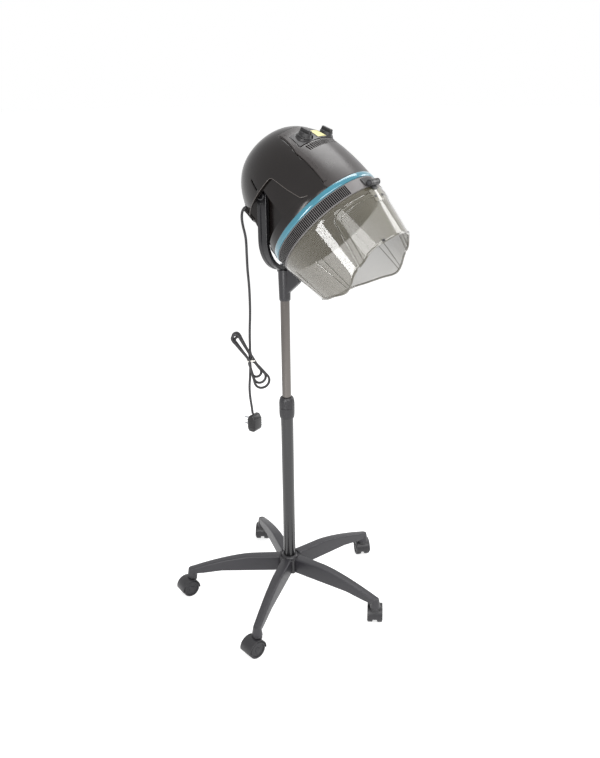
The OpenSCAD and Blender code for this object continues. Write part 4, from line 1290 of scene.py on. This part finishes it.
def hinge_block():
    """Barrel ends on a curved pad that sits on the vent ring."""
    bm = bmesh.new()
    profile = [
        (2.6, 10.3), (7.4, 10.3), (8, 10.9), (8, 13.4), (7.2, 14), (7.2, 16.2), (8, 16.8), (8, 19.2),
        (7.2, 20), (2.6, 20),
    ]
    for side in (-1, 1):
        add(bm, turned(profile, 40), ON_HINGE @ turned_about("X", 0 if side > 0 else 180))
        low, high = sorted((side * 10.4, side * 19.8))
        add(bm, block((low, -HINGE_Y, -27.8), (high, -150.4, -20.2), 1.2, 3))
    pad = slab(sheet(rounded([(-24, -27.8), (24, -27.8), (24, -4.6), (-24, -4.6)], 4), 4.0), 2.9, 0.9)
    return add(bm, wrapped(pad, lambda z: 150.1))


piece("hinge_block", hinge_block(), hinge_black, "hood", ["hinge_base"], IN_CASING)
pin_profile = [
    (0, -22), (3.6, -22), (4.5, -21.2), (4.5, -20.3), (4.2, -20.1), (2.5, -20.1), (2.5, 20.1), (4.2, 20.1),
    (4.5, 20.3), (4.5, 21.2), (3.6, 22), (0, 22),
]
piece(
    "hinge_rod", turned(pin_profile, 32, closed=False), screw_dark, "hood", ["hinge_pin"],
    IN_CASING @ ON_HINGE
)

LEAF_LINE = [(-25, -39.5), (25, -39.5), (21, -70), (-21, -70)]
leaf = wrapped(slab(sheet(rounded(LEAF_LINE, 4), 4.0), 2.6, 0.7, lift=0.1), visor_r_at)
piece("door_leaf", leaf, leaf_clear, "door", ["hinge_leaf"], IN_CASING)


def door_knuckle():
    """Middle knuckle of the hinge and the tongue to its leaf."""
    profile = [
        (2.7, -10), (7.3, -10), (8, -9.3), (8, -5), (7.4, -4.4), (7.4, 4.4), (8, 5), (8, 9.3), (7.3, 10),
        (2.7, 10),
    ]
    bm = bmesh.new()
    add(bm, turned(profile, 40), ON_HINGE)
    return add(bm, block((-9.8, -154.4, -42.4), (9.8, -150.4, -30.6), 1.2, 3))


piece("door_knuckle", door_knuckle(), hinge_black, "door", (), IN_CASING)


def leaf_screws():
    """Two domed screws with cross slots in the leaf."""
    bm = bmesh.new()
    profile = [(0, -9), (1.5, -9), (1.5, 0), (3, 0), (3, 1), (2.3, 1.9), (1.2, 2.2), (0, 2.3)]
    for degrees in (-6, 6):
        place = turned_about("Z", degrees) @ moved(0, -148.2, -58) @ turned_about("X", 90)
        add(bm, turned(profile, 24, closed=False), place)
        for turn in (0, 90):
            add(bm, block((-2.0, -0.35, 2.0), (2.0, 0.35, 2.5), 0.1, 1), place @ turned_about("Z", turn))
    return bm


piece("leaf_screws", leaf_screws(), screw_dark, "door", ["hinge_screws"], IN_CASING)

# ---- Yoke ----


def fork_stations():
    """Places along the fork from arm to arm: (centre, outward, half width, groove depth)."""
    arm = FORK_R - ARM_T / 2
    half = ARM_W / 2
    down = []
    for degrees in (82, 68, 52, 38, 24, 11):
        turn = math.radians(degrees)
        down.append((PIVOT_Z + half * math.sin(turn), half * math.cos(turn), 0.0))
    down += [(PIVOT_Z, half, 0.0), (PIVOT_Z - 18.5, half, 0.0), (PIVOT_Z - 21, half, 2.0)]
    down += [(PIVOT_Z - 50, half, 2.0), (PIVOT_Z - 80, half, 2.0)]
    left, right = (
        [(Vector((side * arm, 0, z)), Vector((side, 0, 0)), wide, deep) for z, wide, deep in down]
        for side in (-1, 1)
    )
    bend = []
    for degrees in range(180, 361, 5):
        turn = math.radians(degrees)
        out = Vector((math.cos(turn), 0, math.sin(turn)))
        deep = 2.0 if abs(FORK_R * out.x) > SOCKET_D + 2 else 0.0
        bend.append((Vector((0, 0, FORK_Z)) + out * arm, out, half, deep))
    return left + bend + right[::-1]


def fork_section(wide, deep):
    """Half-rounded section of the fork, in (outward, Y), with its outer groove."""
    half = ARM_T / 2
    edge = min(2.2, wide * 0.4)
    groove = min(1.0, wide / 14)
    points = [(half - deep, 3.0 * groove), (half, 4.4 * groove)]
    for out, over, start in ((1, 1, 0), (-1, 1, 90), (-1, -1, 180), (1, -1, 270)):
        for k in range(5):
            angle = math.radians(start + 22.5 * k)
            along = out * (half - edge) + edge * math.cos(angle)
            points.append((along, over * (wide - edge) + edge * math.sin(angle)))
    return points + [(half, -4.4 * groove), (half - deep, -3.0 * groove)]


def fork():
    """Grooved fork with round arm ends."""
    def point_at(station, k):
        centre, out, wide, deep = station
        along, over = fork_section(wide, deep)[k]
        return centre + out * along + Vector((0, over, 0))

    return drawn_out(fork_stations(), 24, point_at)


piece("fork", fork(), yoke_satin, "yoke", ["yoke_fork"])


def socket():
    """Tapered socket with a front gusset and cheeks beside the fork."""
    low, top = SOCKET_BOTTOM, SADDLE_TOP - 7.1
    profile = [
        (12.6, low + 1), (13.2, low), (14, low), (14.9, low + 1.4), (15.1, low + 8), (16.8, SADDLE_TOP - 9),
        (16.6, top), (0, top), (0, MAST_TOP + 0.6), (12.6, MAST_TOP + 0.6),
    ]
    bm = turned(profile, 64)
    outline = [
        (0, low + 6), (-15, low + 22), (-44, low + 48), (-48, low + 53), (-48, low + 67), (-45, low + 72),
        (-18, SADDLE_TOP - 1), (-14.3, SADDLE_TOP), (-14.3, top), (0, top),
    ]
    gusset = plate(outline, 18.0, low=-9.0)
    soften(gusset, 3.0, 3, least=50)
    add(bm, gusset, Matrix(((0, 0, 1, 0), (1, 0, 0, 0), (0, 1, 0, 0), (0, 0, 0, 1))))
    for side in (-1, 1):
        near, far = sorted((side * 14.15, side * 17.0))
        add(bm, block((-9.2, near, top - 6), (9.2, far, SADDLE_TOP), 1.0, 3))
    return bm


piece("socket", socket(), socket_satin, "yoke", ["yoke_socket"])


def arm_caps():
    """Domed caps over the pivot bolts."""
    bm = bmesh.new()
    profile = [
        (0, 3.2), (7.1, 3.2), (7.1, 0), (11.5, 0), (11.5, 2.4), (11.1, 3.6), (9.6, 4.8), (7.8, 5),
        (7.0, 4.4), (0, 4.2),
    ]
    for side in (-1, 1):
        place = moved(side * FORK_R, 0, PIVOT_Z) @ turned_about("Y", side * 90)
        add(bm, turned(profile, 48, closed=False), place)
    return bm


piece("arm_caps", arm_caps(), yoke_satin, "yoke", ["pivot_caps"])

# ---- Column ----

TUBE_R = BASE_TUBE_D / 2
MAST_R = MAST_D / 2


def pipe_profile(radius, bore, low, high):
    """Section of a pipe with broken edges at its top."""
    return [
        (bore, low), (radius, low), (radius, high - 0.6), (radius - 0.5, high), (bore + 0.4, high),
        (bore, high - 0.5),
    ]


lower_profile = pipe_profile(TUBE_R, 16.0, TUBE_SEAT, BASE_TUBE_TOP)
lower_profile[0] = (5.2, TUBE_SEAT)
lower_profile += [(16.0, TUBE_SEAT + 14), (5.2, TUBE_SEAT + 14)]
piece("lower_pipe", turned(lower_profile, 96), tube_gloss, "base", ["base_tube"])
mast_profile = pipe_profile(MAST_R, 11.0, MAST_BOTTOM, MAST_TOP)
mast_profile[1:2] = [(15.7, MAST_BOTTOM), (15.7, MAST_BOTTOM + 11.5), (MAST_R, MAST_BOTTOM + 12.2)]
piece("mast_pipe", turned(mast_profile, 80), mast_chrome, "mast", ["mast_tube"])

sleeve_low = SLEEVE_TOP - SLEEVE_LEN
sleeve_profile = [
    (17.6, sleeve_low), (18.8, sleeve_low), (19.8, sleeve_low + 0.8), (20.6, sleeve_low + 4),
    (21.2, sleeve_low + 9), (21.5, sleeve_low + 15), (21.5, SLEEVE_TOP - 0.6), (21.0, SLEEVE_TOP),
    (17.6, SLEEVE_TOP),
]
piece("collar_lower", turned(sleeve_profile, 96), collar_black, "base", ["collar_sleeve"])
GRIPS = 16
FLUTE_DEPTH = 0.9
FLUTE_TURN = 3.2


def collar_upper():
    """Turning half of the clamp collar, with shallow grip flutes."""
    low = SLEEVE_TOP + RUN_GAP
    top = low + LOCK_LEN
    profile = [
        (12.9, top), (12.9, top - 4.5), (17.45, top - 4.5), (17.45, low), (21, low), (21.5, low + 0.6),
        (21.5, low + 3.4), (21.5, low + 6), (21.4, low + 13), (20.9, low + 20), (20.1, low + 24),
        (18.4, low + 28.4), (17.2, top - 0.8), (16.2, top),
    ]
    bm = turned(profile, GRIPS * 8)
    for vert in bm.verts:
        radius = math.hypot(vert.co.x, vert.co.y)
        if radius > 19.5 and low + 5 < vert.co.z < low + 23:
            turn = math.degrees(math.atan2(vert.co.y, vert.co.x)) % (360 / GRIPS)
            if min(turn, 360 / GRIPS - turn) < FLUTE_TURN:
                to_radius(vert, radius - FLUTE_DEPTH)
    return bm


piece("collar_upper", collar_upper(), collar_black, "lock_ring", ["lock_collar"])

# ---- Base ----


def hub():
    """Five-sided hub with rounded corners and a neck round the tube."""
    outline = []
    for k in range(LEGS):
        angle = math.radians(18 + 72 * k)
        corner = HUB_FLAT / math.cos(math.pi / LEGS)
        outline.append((corner * math.cos(angle), corner * math.sin(angle)))
    bm = plate(rounded(outline, 5.0), HUB_TOP - HUB_BOTTOM, 1.6, 3, HUB_BOTTOM)
    neck = [
        (17.55, HUB_TOP - 1), (26, HUB_TOP - 1), (25.6, HUB_TOP + 0.6), (21, HUB_TOP + 5.4),
        (20, HUB_TOP + 6), (17.55, HUB_TOP + 6),
    ]
    return add(bm, turned(neck, 64))


piece("hub_body", hub(), hub_satin, "base", ["base_hub"])


def leg_top_at(x):
    """Height of a leg's top at a distance from the column."""
    return LEG_TOP - LEG_DROP * max(0.0, (x - LEG_SHOULDER) / (BASE_REACH - LEG_SHOULDER)) ** 1.5


def leg_low_at(x):
    """Height of a leg's underside."""
    root = HUB_BOTTOM + 2
    bend = BASE_REACH - LEG_BOSS_R - 75
    near = BASE_REACH - LEG_BOSS_R - 20
    if x < bend:
        return root
    if x < near:
        return root + (LEG_BOSS_BOTTOM + 15 - root) * (x - bend) / (near - bend)
    return LEG_BOSS_BOTTOM + 15 - 2 * min(1.0, (x - near) / 33.5)


def leg_half_at(x):
    """Half of a leg's width."""
    root, tip = LEG_ROOT_W / 2, LEG_TIP_W / 2
    return root + (tip - root) * min(1.0, (x - HUB_FLAT) / (BASE_REACH - HUB_FLAT))


def leg():
    """Leg of an upturned channel that ends round its caster's stem."""
    nose = [BASE_REACH + LEG_TIP_W / 2 * math.sin(math.radians(a)) for a in (15, 30, 45, 58, 70, 80)]
    stations = [
        HUB_FLAT - 1.5, HUB_FLAT + 1.5, 36, 44, 54, 66, 80, 96, 112, 124, 136, 150, 164, 178, 192, 204,
        216, 228, 240, 250, 260, 268, 276, 284, BASE_REACH, *nose,
    ]
    parts = 5

    def point_at(x, k):
        wide = leg_half_at(x)
        top = leg_top_at(min(x, BASE_REACH))
        low = leg_low_at(x)
        if x > BASE_REACH:
            past = (x - BASE_REACH) / (LEG_TIP_W / 2)
            wide *= math.sqrt(1 - past ** 2)
            top -= 7.5 * (1 - math.sqrt(1 - past ** 2))
        if x < HUB_FLAT + 1:
            wide, top, low = wide - 1.0, top - 1.6, low + 0.6
        edge = min(4.5, wide * 0.6)
        if k < 2:
            return Vector((x, (wide - 0.6) * (1 if k else -1), low))
        if k < 2 + parts:
            turn = math.radians(90 * (k - 2) / (parts - 1))
            return Vector((x, wide - edge + edge * math.cos(turn), top - edge + edge * math.sin(turn)))
        turn = math.radians(90 + 90 * (k - 2 - parts) / (parts - 1))
        return Vector((x, edge - wide + edge * math.cos(turn), top - edge + edge * math.sin(turn)))

    bm = drawn_out(stations, 2 + 2 * parts, point_at)
    under = [
        f for f in chosen(bm, lambda c: 36 < c.x < 262 and c.z < leg_low_at(c.x) + 1)
        if f.normal.z < -0.5 and len(f.verts) == 4
    ]
    bmesh.ops.inset_region(bm, faces=under, thickness=3.2, use_even_offset=True)
    for vert in points_in(drawn(bm, under)):
        vert.co.z = leg_top_at(vert.co.x) - 4.5
        vert.co.y *= 0.82
    for x in (74, 118, 162, 206):
        wide = leg_half_at(x) - 3
        add(bm, block((x - 2, -wide, leg_low_at(x) + 4), (x + 2, wide, leg_top_at(x + 2) - 4), 0.5, 1))
    low = LEG_BOSS_BOTTOM
    profile = [
        (5.6, low + 0.4), (6.2, low), (13.6, low), (14.5, low + 1), (14.2, low + 4), (11.6, low + 22),
        (10.4, low + 27), (5.6, low + 27),
    ]
    return add(bm, turned(profile, 48), moved(BASE_REACH, 0, 0))


for number in range(LEGS):
    count = number + 1
    piece("leg_arm_%d" % count, leg(), leg_satin, "base", ["leg_%d" % count], on_leg(number))

# ---- Casters ----

ON_AXLE = moved(TRAIL, 0, WHEEL_R) @ turned_about("X", 90)


def sector(radius, bore, start, end, parts=28):
    """Outline of a ring's sector, in degrees."""
    turns = [math.radians(start + (end - start) * k / parts) for k in range(parts + 1)]
    outer = [(radius * math.cos(t), radius * math.sin(t)) for t in turns]
    return outer + [(bore * math.cos(t), bore * math.sin(t)) for t in reversed(turns)]


def caster_hood():
    """Caster body with its mudguard, core, swivel boss and stem."""
    bm = plate(sector(MUDGUARD_R, MUDGUARD_IN + 0.2, -8, 188), CASTER_W, low=-CASTER_W / 2)
    soften(bm, 1.0, 3, least=50)
    add(bm, plate(sector(MUDGUARD_IN + 1, 3.4, -8, 188), CORE_W, low=-CORE_W / 2))
    add(bm, disc(WHEEL_R - 6, -CORE_W / 2 + 0.1, CORE_W / 2 - 0.1, 0.8, 3.2))
    bmesh.ops.transform(bm, matrix=ON_AXLE, verts=bm.verts)
    boss = [
        (0, WHEEL_R + 24), (LEG_BOSS_R, WHEEL_R + 22), (LEG_BOSS_R, CASTER_TOP - 1.2),
        (LEG_BOSS_R - 1, CASTER_TOP), (5.5, CASTER_TOP), (5.5, CASTER_TOP + 20.6), (4.2, CASTER_TOP + 22),
        (0, CASTER_TOP + 22),
    ]
    return add(bm, turned(boss, 40, closed=False))


def caster_wheel():
    """Pair of wheels with recessed discs, on their axle."""
    inner = CORE_W / 2 + RUN_GAP
    outer = inner + WHEEL_W
    profile = [
        (0, inner - 7), (3, inner - 7), (3, inner), (23.4, inner), (24.6, inner + 0.8),
        (WHEEL_R, inner + 2.4), (WHEEL_R, outer - 4), (24.5, outer - 1.6), (23.2, outer - 0.3),
        (21.8, outer), (19.6, outer),
        (19, outer - 0.7), (18.6, outer - 2), (9, outer - 2), (8.4, outer - 1.4), (7.6, outer - 0.3),
        (6.4, outer), (2, outer + 0.1), (0, outer + 0.1),
    ]
    bm = bmesh.new()
    for side in (0, 180):
        add(bm, turned(profile, 64, closed=False), ON_AXLE @ turned_about("X", side))
    return bm


for number in range(LEGS):
    count = number + 1
    piece(
        "caster_body_%d" % count, caster_hood(), caster_black, "caster_%d" % count,
        ["caster_housing_%d" % count], at_caster(number)
    )
    piece(
        "caster_pair_%d" % count, caster_wheel(), wheel_rubber, "wheels_%d" % count,
        ["caster_wheels_%d" % count], at_caster(number)
    )

# ---- Parts that keep their own shape ----

motor_can = moulded(
    "motor can", "8d8f94", 0.34, metal=1.0, mottle=0.06, stretch=(1, 1, 0.2), scuff=0.1, grain=0.15,
)
fan_plastic = moulded("fan plastic", "d6d3cb", 0.46)
mica_sheet = moulded("mica sheet", "c3b592", 0.55, mottle=0.16, cloud_size=90, grain=0.25)
heater_wire = moulded(
    "heater wire", "8a5a44", 0.45, metal=0.8, mottle=0.2, cloud_size=160, grain=0.2,
)
ceramic = moulded("ceramic", "e0ddd4", 0.4, mottle=0.05, grain=0.1)
switch_grey = moulded("switch grey", "6d6c70", 0.48, grain=0.15)
KEPT = {
    "collet": collar_black, "base_bolt": bright_steel, "socket_screws": bright_steel,
    "pivot_bolts": bright_steel, "friction_washers": washer_fibre,
    "timer_switch": switch_grey, "heat_switch": switch_grey,
    "motor": motor_can, "motor_bracket": bright_steel, "impeller": fan_plastic, "heater_frame": mica_sheet,
    "heater_coil": heater_wire, "thermal_cutout": ceramic, "terminal_block": ceramic,
    "casing_screws": bright_steel,
}
for node, look in KEPT.items():
    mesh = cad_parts[node].data
    mesh.materials.clear()
    mesh.materials.append(look)

# ---- Floor, light and view ----


def seen_rays(tree):
    """One for what is seen, reflected or seen through, and nought for other light."""
    path = tree.nodes.new("ShaderNodeLightPath").outputs
    value = path["Is Camera Ray"]
    for kind in ("Is Glossy Ray", "Is Transmission Ray"):
        either = fed(tree, "Math", {0: value, 1: path[kind]})
        either.operation = "MAXIMUM"
        value = either.outputs[0]
    return value


def floor_finish():
    """Pale floor that keeps the shadow and meets a white background."""
    look = bpy.data.materials.new("pale floor")
    look.use_nodes = True
    tree = look.node_tree
    shader = fed(tree, tree.nodes["Principled BSDF"], {
        "Base Color": (0.80, 0.80, 0.80, 1), "Roughness": 0.9, "Specular IOR Level": 0.1,
    })
    level = fed(tree, "Math", {0: seen_rays(tree), 1: 0.64})
    level.operation = "MULTIPLY"
    glow = fed(tree, "Emission", {"Color": (1, 1, 1, 1), "Strength": level.outputs[0]})
    both = fed(tree, "AddShader", {0: shader.outputs[0], 1: glow.outputs[0]})
    tree.links.new(both.outputs[0], tree.nodes["Material Output"].inputs["Surface"])
    return look


def studio_world():
    """White surroundings, softer for the light they give."""
    world = bpy.data.worlds.new("studio")
    bpy.context.scene.world = world
    world.use_nodes = True
    tree = world.node_tree
    level = fed(tree, "MapRange", {"To Min": 0.45, "To Max": 1.0, "Value": seen_rays(tree)})
    fed(tree, tree.nodes["Background"], {"Color": (1, 1, 1, 1), "Strength": level.outputs["Result"]})


def softbox(name, place, aim, size, power):
    """Flat studio light at a place, aimed at a point."""
    lamp = bpy.data.lights.new(name, "AREA")
    lamp.shape = "RECTANGLE"
    lamp.size, lamp.size_y = size
    lamp.energy = power
    way = Vector(aim) - Vector(place)
    put(name, lamp).matrix_world = (
        Matrix.Translation(place) @ way.to_track_quat("-Z", "Y").to_matrix().to_4x4()
    )


studio_world()
floor_mesh = bpy.data.meshes.new("floor")
ground = bmesh.new()
bmesh.ops.create_grid(ground, x_segments=2, y_segments=2, size=60)
ground.to_mesh(floor_mesh)
ground.free()
floor_mesh.materials.append(floor_finish())
floor = put("floor", floor_mesh)

softbox("key softbox", (-1.1, -2.5, 2.3), (0, 0, 0.9), (2.6, 1.5), 52)
softbox("strip softbox", (-2.1, -0.53, 1.25), (0, -0.1, 1.15), (0.42, 1.5), 24)
softbox("overhead softbox", (0.9, -0.1, 3.3), (0, -0.1, 0.8), (1.7, 1.7), 40)
softbox("far softbox", (2.4, -1.4, 1.8), (0, 0, 0.8), (1.0, 1.6), 20)

bpy.context.scene.view_settings.view_transform = "Standard"
